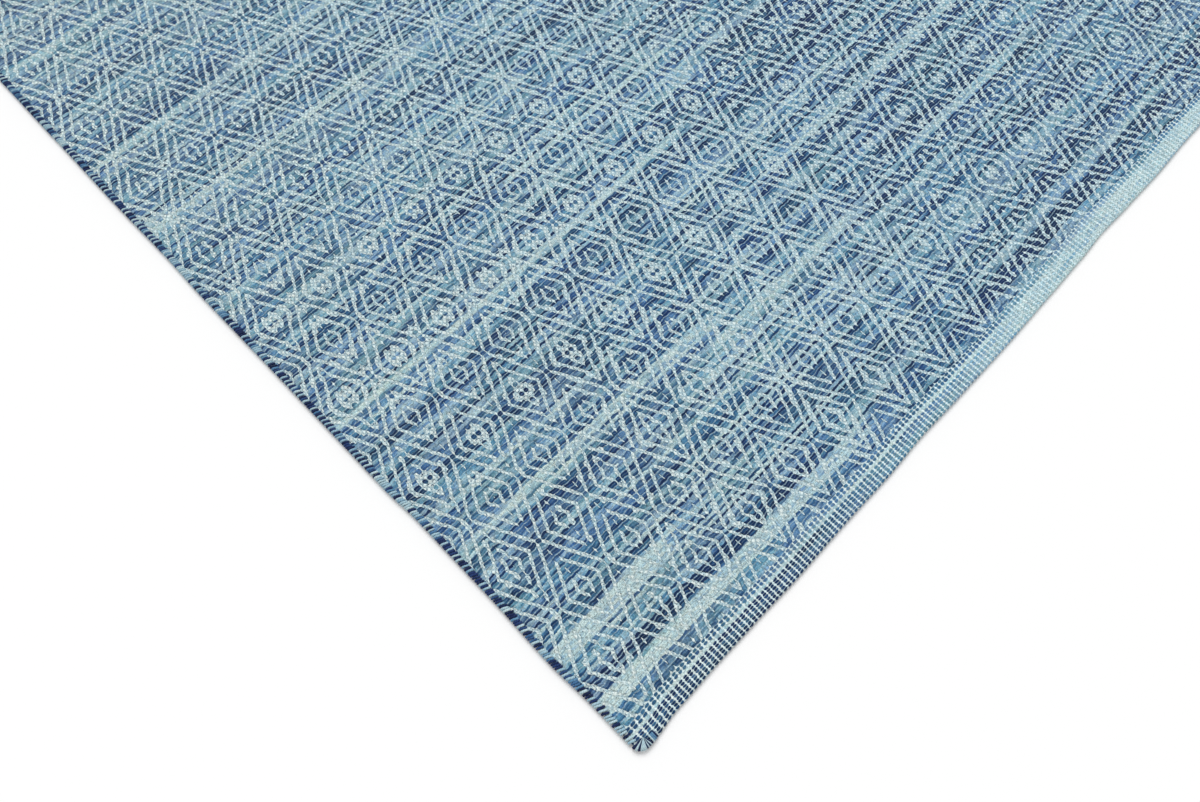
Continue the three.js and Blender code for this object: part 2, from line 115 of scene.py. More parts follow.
# The streaks of the weft that a viewer notices, read one by one. pick counts from the end band
# (2 is the first of the field), strands is the streak's height, start and stop count repeats
# of 66.1 mm from the left edge, tone runs from 0 (pale) to 1 (near-black navy). The picks are
# counted as if they lay straight.
STREAKS = [
    {"pick": 3.0, "strands": 3, "start": 0.2, "stop": 6.2, "tone": 0.52},
    {"pick": 4.5, "strands": 5, "start": -1.0, "stop": 5.6, "tone": 0.06},
    {"pick": 7.5, "strands": 4, "start": 0.15, "stop": 4.8, "tone": 1.04},
    {"pick": 7.0, "strands": 1, "start": 4.6, "stop": 14.3, "tone": 0.88},
    {"pick": 4.5, "strands": 4, "start": 6.0, "stop": 8.6, "tone": 0.72},
    {"pick": 4.5, "strands": 5, "start": 8.5, "stop": 12.4, "tone": 0.95},
    {"pick": 5.0, "strands": 3, "start": 12.9, "stop": 14.6, "tone": 0.93},
    {"pick": 3.5, "strands": 2, "start": 7.0, "stop": 9.3, "tone": 0.85},
    {"pick": 3.0, "strands": 2, "start": 9.4, "stop": 12.0, "tone": 0.3},
    {"pick": 7.5, "strands": 3, "start": 8.8, "stop": 14.6, "tone": 0.1},
    {"pick": 9.0, "strands": 1, "start": 10.0, "stop": 14.2, "tone": 0.25},
    {"pick": 11.0, "strands": 3, "start": 5.8, "stop": 14.2, "tone": 0.78},
    {"pick": 12.5, "strands": 1, "start": 2.8, "stop": 8.0, "tone": 0.98},
    {"pick": 13.0, "strands": 1, "start": 0.8, "stop": 8.8, "tone": 0.1},
    {"pick": 13.5, "strands": 1, "start": 3.8, "stop": 8.0, "tone": 0.92},
    {"pick": 14.0, "strands": 1, "start": 10.4, "stop": 14.4, "tone": 0.95},
    {"pick": 14.0, "strands": 6, "start": -1.0, "stop": 2.3, "tone": 0.05},
    {"pick": 14.5, "strands": 1, "start": 4.5, "stop": 7.2, "tone": 0.85},
    {"pick": 15.5, "strands": 2, "start": 5.5, "stop": 8.2, "tone": 0.72},
    {"pick": 16.5, "strands": 1, "start": 0.0, "stop": 5.6, "tone": 0.15},
    {"pick": 17.0, "strands": 1, "start": 3.6, "stop": 8.0, "tone": 0.8},
    {"pick": 17.5, "strands": 4, "start": 0.3, "stop": 2.1, "tone": 0.75},
    {"pick": 18.0, "strands": 1, "start": 2.4, "stop": 7.2, "tone": 0.97},
    {"pick": 19.0, "strands": 1, "start": 2.1, "stop": 7.0, "tone": 0.15},
    {"pick": 19.0, "strands": 1, "start": 12.9, "stop": 14.6, "tone": 0.95},
    {"pick": 21.0, "strands": 1, "start": 2.6, "stop": 8.2, "tone": 0.87},
    {"pick": 21.5, "strands": 1, "start": 3.0, "stop": 10.5, "tone": 0.14},
    {"pick": 23.0, "strands": 1, "start": 3.0, "stop": 7.6, "tone": 0.88},
    {"pick": 24.0, "strands": 2, "start": 0.0, "stop": 7.0, "tone": 0.66},
    {"pick": 25.0, "strands": 1, "start": 5.2, "stop": 7.0, "tone": 0.1},
    {"pick": 25.5, "strands": 1, "start": 2.0, "stop": 7.2, "tone": 0.74},
    {"pick": 26.0, "strands": 1, "start": 1.9, "stop": 7.6, "tone": 0.1},
    {"pick": 28.0, "strands": 1, "start": 6.8, "stop": 8.3, "tone": 1.0},
    {"pick": 28.5, "strands": 1, "start": 0.9, "stop": 6.8, "tone": 0.93},
    {"pick": 28.5, "strands": 2, "start": 8.1, "stop": 10.6, "tone": 0.08},
    {"pick": 29.0, "strands": 3, "start": 4.9, "stop": 6.5, "tone": 0.1},
    {"pick": 30.0, "strands": 1, "start": 8.6, "stop": 10.6, "tone": 0.95},
    {"pick": 31.0, "strands": 1, "start": 7.0, "stop": 12.2, "tone": 0.9},
    {"pick": 32.0, "strands": 3, "start": 5.0, "stop": 8.9, "tone": 0.1},
    {"pick": 32.0, "strands": 1, "start": 9.0, "stop": 14.2, "tone": 0.85},
    {"pick": 33.0, "strands": 4, "start": 0.9, "stop": 4.6, "tone": 0.78},
    {"pick": 33.0, "strands": 3, "start": 10.2, "stop": 14.4, "tone": 0.08},
    {"pick": 34.5, "strands": 1, "start": 9.4, "stop": 14.0, "tone": 0.8},
    {"pick": 36.0, "strands": 1, "start": 0.0, "stop": 5.0, "tone": 0.14},
    {"pick": 37.0, "strands": 3, "start": 0.8, "stop": 4.8, "tone": 0.06},
    {"pick": 37.5, "strands": 2, "start": 5.4, "stop": 14.2, "tone": 0.82},
    {"pick": 39.5, "strands": 1, "start": 3.3, "stop": 5.6, "tone": 0.95},
    {"pick": 42.0, "strands": 1, "start": 10.8, "stop": 14.6, "tone": 1.0},
    {"pick": 43.0, "strands": 1, "start": 5.5, "stop": 14.6, "tone": 0.9},
    {"pick": 44.0, "strands": 1, "start": 1.0, "stop": 8.2, "tone": 0.08},
    {"pick": 45.0, "strands": 1, "start": 3.1, "stop": 6.0, "tone": 0.92},
    {"pick": 46.0, "strands": 2, "start": 8.6, "stop": 14.2, "tone": 0.8},
    {"pick": 47.0, "strands": 1, "start": 7.0, "stop": 14.4, "tone": 0.88},
    {"pick": 49.0, "strands": 4, "start": -1.0, "stop": 4.2, "tone": 0.84},
    {"pick": 49.0, "strands": 4, "start": 8.6, "stop": 14.4, "tone": 0.03},
    {"pick": 52.0, "strands": 1, "start": 3.4, "stop": 8.2, "tone": 0.8},
    {"pick": 54.5, "strands": 2, "start": -1.0, "stop": 3.2, "tone": 0.99},
    {"pick": 55.0, "strands": 1, "start": 7.3, "stop": 11.4, "tone": 0.08},
    {"pick": 56.0, "strands": 1, "start": 2.4, "stop": 9.6, "tone": 0.88},
    {"pick": 57.0, "strands": 1, "start": 6.6, "stop": 14.0, "tone": 0.03},
    {"pick": 58.5, "strands": 1, "start": 1.7, "stop": 5.2, "tone": 0.96},
    {"pick": 59.0, "strands": 4, "start": -1.0, "stop": 1.8, "tone": 0.82},
    {"pick": 59.0, "strands": 1, "start": 7.9, "stop": 10.0, "tone": 0.05},
    {"pick": 61.5, "strands": 1, "start": 1.8, "stop": 7.2, "tone": 0.88},
    {"pick": 62.0, "strands": 3, "start": 10.4, "stop": 12.9, "tone": 0.95},
    {"pick": 63.5, "strands": 1, "start": 3.2, "stop": 6.0, "tone": 0.9},
    {"pick": 64.5, "strands": 1, "start": 0.7, "stop": 8.7, "tone": 0.05},
    {"pick": 66.0, "strands": 1, "start": 4.4, "stop": 8.2, "tone": 0.96},
    {"pick": 67.0, "strands": 2, "start": 0.0, "stop": 8.0, "tone": 0.05},
    {"pick": 68.5, "strands": 1, "start": 0.5, "stop": 8.2, "tone": 0.95},
    {"pick": 67.0, "strands": 4, "start": 11.0, "stop": 12.6, "tone": 0.96},
    {"pick": 71.5, "strands": 1, "start": 3.2, "stop": 8.2, "tone": 0.87},
    {"pick": 73.5, "strands": 1, "start": 4.0, "stop": 9.2, "tone": 0.96},
    {"pick": 75.0, "strands": 2, "start": 9.8, "stop": 11.8, "tone": 0.95},
    {"pick": 74.5, "strands": 7, "start": 7.9, "stop": 9.8, "tone": 0.15},
    {"pick": 76.5, "strands": 2, "start": 1.4, "stop": 4.0, "tone": 0.8},
    {"pick": 79.5, "strands": 1, "start": 5.4, "stop": 9.0, "tone": 0.95},
    {"pick": 81.5, "strands": 1, "start": -1.0, "stop": 5.0, "tone": 0.82},
    {"pick": 82.5, "strands": 2, "start": 4.6, "stop": 10.2, "tone": 0.04},
    {"pick": 83.5, "strands": 1, "start": 3.2, "stop": 8.6, "tone": 0.94},
    {"pick": 86.0, "strands": 1, "start": 2.4, "stop": 10.2, "tone": 0.06},
    {"pick": 86.5, "strands": 1, "start": 3.0, "stop": 10.2, "tone": 0.96},
    {"pick": 89.0, "strands": 1, "start": 6.0, "stop": 8.2, "tone": 0.92},
    {"pick": 92.5, "strands": 1, "start": 2.7, "stop": 10.2, "tone": 0.95},
    {"pick": 95.5, "strands": 1, "start": 3.7, "stop": 9.8, "tone": 0.93},
    {"pick": 98.0, "strands": 1, "start": 3.4, "stop": 9.6, "tone": 0.05},
    {"pick": 100.5, "strands": 1, "start": 4.7, "stop": 9.4, "tone": 0.95},
    {"pick": 101.5, "strands": 1, "start": 3.1, "stop": 9.2, "tone": 0.95},
    {"pick": 104.5, "strands": 2, "start": 4.0, "stop": 9.0, "tone": 0.87},
    {"pick": 106.5, "strands": 1, "start": -1.0, "stop": 8.8, "tone": 0.84},
    {"pick": 108.5, "strands": 1, "start": 2.4, "stop": 8.4, "tone": 0.93},
    {"pick": 110.5, "strands": 1, "start": 3.4, "stop": 8.4, "tone": 0.88},
    {"pick": 121.0, "strands": 2, "start": -1.0, "stop": 7.3, "tone": 0.08},
    {"pick": 122.5, "strands": 1, "start": 0.2, "stop": 7.4, "tone": 0.95},
    {"pick": 124.5, "strands": 1, "start": 0.0, "stop": 7.2, "tone": 0.9},
    {"pick": 126.5, "strands": 1, "start": 3.0, "stop": 7.0, "tone": 0.95},
    {"pick": 127.5, "strands": 1, "start": 2.0, "stop": 7.0, "tone": 0.98},
    {"pick": 128.0, "strands": 2, "start": -1.0, "stop": 4.6, "tone": 0.85},
    {"pick": 135.5, "strands": 2, "start": -1.0, "stop": 6.2, "tone": 0.8},
    {"pick": 139.0, "strands": 1, "start": -1.0, "stop": 6.0, "tone": 0.95},
    {"pick": 140.0, "strands": 2, "start": -1.0, "stop": 5.8, "tone": 0.06},
    {"pick": 143.0, "strands": 1, "start": -1.0, "stop": 5.6, "tone": 0.88},
]
RIGHT_DARKER = 0.12                 # the weft is a little darker beyond the sixth repeat
# The dark yarn of the end band's dashed rows, along the end at -Y (repeats from the left edge).
BAND_DARK = [
    {"at": 0.0, "tone": 1.0}, {"at": 3.4, "tone": 0.95}, {"at": 4.6, "tone": 0.7}, {"at": 6.0, "tone": 0.58},
    {"at": 7.2, "tone": 0.42}, {"at": 8.2, "tone": 0.22}, {"at": 9.4, "tone": 0.12}, {"at": 14.6, "tone": 0.08},
    {"at": 17.0, "tone": 0.5}, {"at": 20.0, "tone": 0.75}, {"at": 24.3, "tone": 0.6},
]
BAND_INNER = [  # the two rows next to the field
    {"at": 0.0, "tone": 0.9}, {"at": 1.2, "tone": 0.82}, {"at": 2.5, "tone": 0.66}, {"at": 4.0, "tone": 0.55},
    {"at": 6.0, "tone": 0.7},
    {"at": 8.3, "tone": 0.72}, {"at": 9.2, "tone": 0.45}, {"at": 12.0, "tone": 0.42}, {"at": 14.6, "tone": 0.55},
    {"at": 24.3, "tone": 0.5},
]


# ---- plan of the rug ---------------------------------------------------------------
def smooth(t):
    c = np.clip(t, 0.0, 1.0)
    return c * c * (3 - 2 * c)


def along_table(table, key, value, at, soft=True):
    knots = np.array([r[key] for r in table], float)
    vals = np.array([r[value] for r in table], float)
    k = np.clip(np.searchsorted(knots, at, side="right") - 1, 0, len(knots) - 2)
    t = np.clip((at - knots[k]) / (knots[k + 1] - knots[k]), 0, 1)
    if soft:
        t = smooth(t)
    return vals[k] + (vals[k + 1] - vals[k]) * t


def uneven(table, along):
    return along_table(table, "along", "out", along)


def place(x, y):
    """A point of the straight-edged plan, in its place in the slightly uneven real one."""
    x, y = np.asarray(x, float), np.asarray(y, float)
    right = smooth((x + HX) / WIDTH)
    near_fade = 1 - smooth((y + HY - 30) / 500)
    far_fade = 1 - smooth((HY - y - 30) / 500)
    d = HX - np.abs(x)
    bulge = CORNER_BULGE * (1 - smooth((d - BULGE_FULL) / (BULGE_GONE - BULGE_FULL)))
    left_side = -uneven(SIDE_UNEVEN, y + HY)
    right_side = uneven(SIDE_UNEVEN, HY - y) * 0.9
    near = -uneven(END_UNEVEN, x + HX) * near_fade - bulge * (1 - smooth((y + HY - 8) / 46))
    far = uneven(END_UNEVEN, HX - x) * 0.9 * far_fade + bulge * (1 - smooth((HY - y - 8) / 46))
    return x + left_side * (1 - right) + right_side * right, y + near + far


def drift(key, x, y):
    """The table DRIFT between its knots, fading out beyond them towards the right side."""
    along = np.array([r["along"] for r in DRIFT], float)
    table = np.array([r[key] for r in DRIFT], float)
    s = np.clip(np.asarray(y, float) + HY, along[0], along[-1] - 1e-6)
    k = np.searchsorted(along, s, side="right") - 1
    t = (s - along[k]) / (along[k + 1] - along[k])
    at = np.array(DRIFT_AT, float)
    u = np.clip(np.asarray(x, float) + HX, at[0], at[-1] - 1e-6)
    c = np.searchsorted(at, u, side="right") - 1
    w = (u - at[c]) / (at[c + 1] - at[c])
    low = table[k, c] * (1 - w) + table[k, c + 1] * w
    high = table[k + 1, c] * (1 - w) + table[k + 1, c + 1] * w
    return (low * (1 - t) + high * t) * (1 - smooth((np.asarray(x, float) + HX - 1050) / 400))


def smooth_noise(shape, sigma, rng):
    """Noise of unit spread, smoothed along both axes by sigma cells."""
    f = rng.standard_normal(shape)
    for axis, s in enumerate(sigma):
        if s > 0:
            n = f.shape[axis]
            freq = np.fft.rfftfreq(n)
            k = np.exp(-2 * (np.pi * freq * s) ** 2)
            k = k.reshape([-1 if a == axis else 1 for a in range(f.ndim)])
            f = np.fft.irfft(np.fft.rfft(f, axis=axis) * k, n=n, axis=axis)
    return f / max(f.std(), 1e-9)


def weft_up(e, p):
    """The draft of the point twill: 1 where the weft lies on top, for end e and pick p."""
    def fold(v, n):
        m = np.mod(v, 2 * n)
        return np.where(m > n, 2 * n - m, m)
    d = fold(e, 11)
    return (np.mod(d + (d == 11) * 1 - (d == 0) * 1 + fold(p, 10), 4) < 2).astype(float)


# ---- columns and rows of the cloth ---------------------------------------------------
first_end = int(math.ceil((-SEL_X + 1.2 - CENTRE_X) / END_PITCH))
last_end = int(math.floor((SEL_X - 1.2 - CENTRE_X) / END_PITCH))
ends = np.arange(first_end, last_end + 1)
col_x = np.concatenate([[-SEL_X], CENTRE_X + ends * END_PITCH, [SEL_X]])
col_e = (col_x - CENTRE_X) / END_PITCH
NC = len(col_x)

# rows: y on the plan, pattern pick, band row, and which zone the cells above the row are in
near_band = sum(BAND_ROWS)
field_start = CENTRE_Y + FIRST_PICK * PICK_PITCH
field_stop = field_start + PICKS * PICK_PITCH
near_scale = (field_start + HY) / near_band
far_scale = (HY - field_stop) / near_band


def band_lines(scale):
    """Distances from the end edge and row numbers of the half rows, from the rim inwards."""
    out, s = [], 0.0
    for i, h in enumerate(BAND_ROWS):
        if i:
            out.append((s * scale, float(i)))
        out.append(((s + h / 2) * scale, i + 0.5)) if i else None
        s += h
    return out


near_lines, far_lines = band_lines(near_scale), band_lines(far_scale)
rows = []  # (y, pick, band row)
for s, b in near_lines:
    rows.append((-HY + s, 0.0, b))
n_near = len(rows)
for j in range(PICKS + 1):
    rows.append((field_start + j * PICK_PITCH, FIRST_PICK + j, 9.0))
for s, b in reversed(far_lines):
    rows.append((HY - s, 0.0, b))
row_y = np.array([r[0] for r in rows])
row_p = np.array([r[1] for r in rows])
row_b = np.array([r[2] for r in rows])
NR = len(rows)
cell_band = np.ones(NR - 1, bool)
cell_band[n_near:n_near + PICKS] = False

# the rounded rim of an end: distance in from the edge, height, and band row by arc length
RIM = [(1.5, 4.16), (0.6, 3.6), (0.12, 2.75), (0.1, 1.85), (0.5, 0.95), (1.2, 0.35), (2.0, CLOTH_LOW)]


def rim_rows():
    arc, prev, out = 0.0, (ROW, CLOTH_TOP + 0.05), []
    for s, z in RIM:
        arc += math.hypot(s - prev[0], z - prev[1])
        prev = (s, z)
        out.append(1.0 - arc / ROW)
    return out


RIM_B = rim_rows()

# ---- tones of the weft ---------------------------------------------------------------
def tone_field(strands, cells, rng):
    long = smooth_noise((strands, cells), (0.3, 28), rng)
    mid = smooth_noise((strands, cells), (0.0, 8), rng)
    fine = smooth_noise((strands, cells), (0.0, 1.5), rng)
    z = 0.74 * long + 0.42 * mid + 0.5 * fine
    z /= z.std()
    t = 0.5 * (1 + np.vectorize(math.erf)(np.clip(z, -3, 3) / math.sqrt(2)))
    return 0.11 + 0.85 * t


cells_x = NC - 1
cell_u = ((col_x[:-1] + col_x[1:]) / 2 + HX) / REPEAT
tones = tone_field(2 * PICKS, cells_x, RNG)
wander = smooth_noise((2 * PICKS, cells_x), (0.0, 12), RNG)
grain = smooth_noise((2 * PICKS, cells_x), (0.0, 1.6), RNG)

# ---- the cloth's surface ---------------------------------------------------------------
X, Y = np.meshgrid(col_x, row_y)
E, P = np.meshgrid(col_e, row_p)

# ends and picks wander a little in the plan
end_wander = smooth_noise((NR, NC), (12, 1.2), RNG) * 0.2 + smooth_noise((NR, NC), (40, 6), RNG) * 0.35
pick_wander = smooth_noise((NR, NC), (0.7, 22), RNG) * 0.22 + smooth_noise((NR, NC), (5, 60), RNG) * 0.45
quiet = smooth((HX - np.abs(X) - 6) / 20)
even_out = np.clip((HX - np.abs(X)) / 36, 0, 1)     # the ends close up evenly towards the sides
quiet_y = smooth((HY - np.abs(Y) - 3) / 20)
drift_x, drift_y = drift("dx", X, Y), drift("dy", X, Y)
X = X + end_wander * quiet + drift_x * even_out
Y = Y + pick_wander * quiet_y + drift_y

# the streaks take the strands that lie where they were read
for s in STREAKS:
    col = int(np.argmin(abs(cell_u - np.clip((s["start"] + s["stop"]) / 2, 0.3, 23.5))))
    start_y = field_start + (s["pick"] - 2) * PICK_PITCH
    lies_y = Y[n_near:n_near + PICKS, col]
    first = int(round(2 * float(np.interp(start_y, lies_y, np.arange(PICKS)))))
    for k in range(s["strands"]):
        strand = first + k
        if not 0 <= strand < 2 * PICKS:
            continue
        lead = 0.45 * wander[strand, int(strand * 7) % cells_x]
        lag = 0.45 * wander[strand, int(strand * 13 + 200) % cells_x]
        w = smooth((cell_u - s["start"] + lead + 0.3) / 0.6) * smooth((s["stop"] + lag + 0.3 - cell_u) / 0.6)
        aim = s["tone"] * 1.06 + 0.05 * wander[strand] + 0.06 * grain[strand] + 0.3 * (tones[strand] - 0.56)
        tones[strand] = tones[strand] * (1 - w) + aim * w
tones = np.clip(tones + RIGHT_DARKER * smooth((cell_u - 6) / 6), 0.0, 1.15)


def sheltered(x, y):
    """Keeps the cloth's own corners and strip ends inside the stitches."""
    x, y = x.copy(), y.copy()
    for sx in (-1, 1):
        for sy in (-1, 1):
            dx, dy = sx * x - (HX - CORNER_R), sy * y - (HY - CORNER_R)
            inset = 1.9 * smooth((sx * x - (HX - YARN_END - 3)) / 4) * np.clip(1 - (HY - sy * y) / 20, 0, 1)
            y = np.where((dx > -YARN_END) & (dy > -20), y - sy * inset, y)
            dy = sy * y - (HY - CORNER_R)
            m = (dx > 0) & (dy > 0)
            r, big = np.hypot(dx, dy) + 1e-9, np.maximum(dx, dy)
            k = np.where(m, np.minimum(big, 10.2) / r, 1.0)
            x = np.where(m, sx * (HX - CORNER_R + dx * k), x)
            y = np.where(m, sy * (HY - CORNER_R + dy * k), y)
    return x, y


def cover(x, y):
    """1 under the stitches, 0 in the open cloth."""
    side = 1 - smooth((HX - np.abs(x) - 6.4) / 2.6)
    end = (1 - smooth((HY - np.abs(y) - 6.4) / 2.6)) * smooth((np.abs(x) - (HX - YARN_END - 1.5)) / 2.5)
    x_in, y_in = HX - np.abs(x), HY - np.abs(y)
    corner = ((x_in < HUB_IN[0]) & (y_in < HUB_IN[0]) & ((x_in < 8.6) | (y_in < HUB_IN[1]))) * 1.0
    return np.maximum(np.maximum(side, end), corner)


up_below, up_above = weft_up(np.round(E), P - 0.5), weft_up(np.round(E), P + 0.5)
relief = 0.26 * ((up_below + up_above) - 1.0)
even = 1.0 - np.mod(np.round(E), 2) * 2          # +1 at even ends
band_relief = 0.14 * even * np.where(np.mod(row_b * 2, 2) > 0.5, 1.0, -1.0)[:, None]
in_field = np.zeros(NR, bool)
in_field[n_near:n_near + PICKS + 1] = True
relief = np.where(in_field[:, None], relief, band_relief)
relief[:, 0] = relief[:, 1]
relief[:, -1] = relief[:, -2]
cockle = smooth_noise((NR, NC), (9, 18), RNG) * 0.12 + smooth_noise((NR, NC), (30, 60), RNG) * 0.14
cov = cover(X, Y)
Z_top = (CLOTH_TOP + relief + cockle) * (1 - cov) + 3.45 * cov
Z_low = CLOTH_LOW * (1 - cov) + 1.5 * cov


def to_world(x, y, z):
    xs, ys = sheltered(x, y)
    px, py = place(xs, ys)
    return np.stack([px, py, z], -1) * MM


top = to_world(X, Y, Z_top)

scallop = 0.3 * even[0] * smooth((HX - YARN_END - 2 - np.abs(col_x)) / 6)


def rim(sign):
    out = []
    edge_cov = cov[0] if sign < 0 else cov[-1]
    x_row = X[0] if sign < 0 else X[-1]
    z_top = Z_top[0] if sign < 0 else Z_top[-1]
    for s, z in RIM:
        y = sign * (HY - s + scallop * (1 if z > 0.6 else 0.3)) + 0 * x_row
        zz = z * (1 - edge_cov) + np.clip(z, 1.5, 3.4) * edge_cov
        zz = zz + (z_top - CLOTH_TOP) * (1 - edge_cov) * max(0.0, (z - 2.4) / 2)
        out.append(to_world(x_row, y, zz))
    return np.array(out)


rim_near, rim_far = rim(-1), rim(1)

low_cols = np.unique(np.concatenate([np.arange(0, NC, 4), [NC - 1]]))
# seams between panels fall on columns and rows that the underside has too
seam_c = [0] + [int(low_cols[np.argmin(abs(low_cols - NC * k / PANELS_X))]) for k in range(1, PANELS_X)] + [NC - 1]
seam_r = [0] + [int(round(n_near + PICKS * k / PANELS_Y)) for k in range(1, PANELS_Y)] + [NR - 1]
low = to_world(X[:, low_cols], Y[:, low_cols], Z_low[:, low_cols])
NL = len(low_cols)

# all points in one list: top, near rim, far rim, underside
n_top = NR * NC
K = len(RIM)
points = np.concatenate([top.reshape(-1, 3), rim_near.reshape(-1, 3), rim_far.reshape(-1, 3), low.reshape(-1, 3)])
at_top = np.arange(n_top).reshape(NR, NC)
at_near = n_top + np.arange(K * NC).reshape(K, NC)
at_far = n_top + K * NC + np.arange(K * NC).reshape(K, NC)
at_low = n_top + 2 * K * NC + np.arange(NR * NL).reshape(NR, NL)

ZONE_FIELD, ZONE_BAND, ZONE_BACK, ZONE_BACK_BAND = 0.0, 1.0, 2.0, 3.0


def quads(grid, flip=False):
    a, b, c, d = grid[:-1, :-1], grid[:-1, 1:], grid[1:, 1:], grid[1:, :-1]
    q = np.stack([a, d, c, b] if flip else [a, b, c, d], -1)
    return q


def band_tone(row_mid, u, far=False):
    """Dark and pale strand tones of a band row."""
    row = np.floor(row_mid)
    uu = (WIDTH / REPEAT - u) if far else u
    dark = along_table(BAND_DARK, "at", "tone", uu)
    inner = along_table(BAND_INNER, "at", "tone", uu)
    if row >= 7:
        out = inner
    elif row == 6:
        out = np.full_like(u, 0.1)
    else:
        out = dark
    return np.clip(out, 0, 1)


band_noise = smooth_noise((64, cells_x), (0, 14), RNG) * 0.07 + smooth_noise((64, cells_x), (0, 1.2), RNG) * 0.06
pale_noise = np.clip(0.1 + smooth_noise((64, cells_x), (0, 20), RNG) * 0.05, 0.0, 0.3)

# tones of the top's cells, strand a below and strand b above, and their zone
tone_top = np.zeros((NR - 1, NC - 1, 3))
for r in range(NR - 1):
    if cell_band[r]:
        far = r > n_near
        mid = (row_b[r] + row_b[r + 1]) / 2
        key = int(math.floor(mid)) + (20 if far else 0)
        tone_top[r, :, 0] = np.clip(band_tone(mid, cell_u, far) + band_noise[key], 0, 1)
        tone_top[r, :, 1] = pale_noise[key]
        tone_top[r, :, 2] = ZONE_BAND
    else:
        j = r - n_near
        tone_top[r, :, 0], tone_top[r, :, 1] = tones[2 * j], tones[2 * j + 1]
        tone_top[r, :, 2] = ZONE_FIELD

weave_top = np.zeros((NR - 1, NC - 1, 4, 2))
eq = quads(np.tile(col_e, (NR, 1)))
weave_top[..., 0] = eq
pq = quads(np.tile(row_p[:, None], (1, NC)))
bq = quads(np.tile(row_b[:, None], (1, NC)))
weave_top[..., 1] = np.where(cell_band[:, None, None], bq, pq)


def rim_faces(at_rim, at_edge, sign):
    grid = np.concatenate([at_edge[None], at_rim])
    faces = quads(grid, flip=sign < 0)
    b = np.array([1.0] + RIM_B)
    w = np.zeros(faces.shape + (2,))
    w[..., 0] = quads(np.tile(col_e, (K + 1, 1)), flip=sign < 0)
    w[..., 1] = quads(np.tile(b[:, None], (1, NC)), flip=sign < 0)
    tone = np.zeros(faces.shape[:2] + (3,))
    for k in range(K):
        key = 12 if sign < 0 else 32
        tone[k, :, 0] = np.clip(band_tone(0.0, cell_u, sign > 0) + band_noise[key], 0, 1)
        tone[k, :, 1] = pale_noise[key]
        tone[k, :, 2] = ZONE_BAND
    return faces, w, tone


near_f, near_w, near_t = rim_faces(at_near, at_top[0], -1)
far_f, far_w, far_t = rim_faces(at_far, at_top[-1], 1)

low_f = quads(at_low, flip=True)
low_w = np.zeros(low_f.shape + (2,))
low_e = col_e[low_cols]
low_w[..., 0] = quads(np.tile(low_e, (NR, 1)), flip=True)
low_w[..., 1] = np.where(
    cell_band[:, None, None],
    quads(np.tile(row_b[:, None], (1, NL)), flip=True),
    quads(np.tile(row_p[:, None], (1, NL)), flip=True),
)
low_pick = ((low_cols[:-1] + low_cols[1:]) // 2).clip(0, NC - 2)
low_t = tone_top[:, low_pick].copy()
low_t[..., 2] += 2.0


def steps_between(fine, coarse):
    """Triangles that close the gap between a fine row of points and a coarse one, whose
    points stand at the same places as some of the fine ones."""
    tris = []
    for (f0, f1, c0, c1) in zip(fine["from"], fine["to"], coarse[:-1], coarse[1:]):
        part = fine["at"][f0:f1 + 1]
        half = (len(part) - 1) // 2
        for i in range(len(part) - 1):
            tris.append((part[i], part[i + 1], c0 if i < max(half, 1) else c1))
            if i == max(half, 1) - 1:
                tris.append((part[i + 1], c1, c0))
    return np.array(tris)


def column_bridge(fine_line, low_line, lo, hi, low_lo, low_hi):
    cols = low_cols[low_lo:low_hi + 1]
    fine = {"at": fine_line, "from": cols[:-1], "to": cols[1:]}
    return steps_between(fine, low_line[low_lo:low_hi + 1])


# normals of the whole cloth, so that its panels meet without a seam
def add_normals(normals, faces):
    a, b, c = points[faces[:, 0]], points[faces[:, 1]], points[faces[:, 2]]
    n = np.cross(b - a, c - a)
    if faces.shape[1] == 4:
        d = points[faces[:, 3]]
        n = np.cross(c - a, d - b) * 0.5
    for k in range(faces.shape[1]):
        for axis in range(3):
            normals[:, axis] += np.bincount(faces[:, k], n[:, axis], minlength=len(normals))


normals = np.zeros_like(points)
for f in (quads(at_top), near_f, far_f, low_f):
    add_normals(normals, f.reshape(-1, 4))
normals /= np.maximum(np.linalg.norm(normals, axis=1), 1e-12)[:, None]


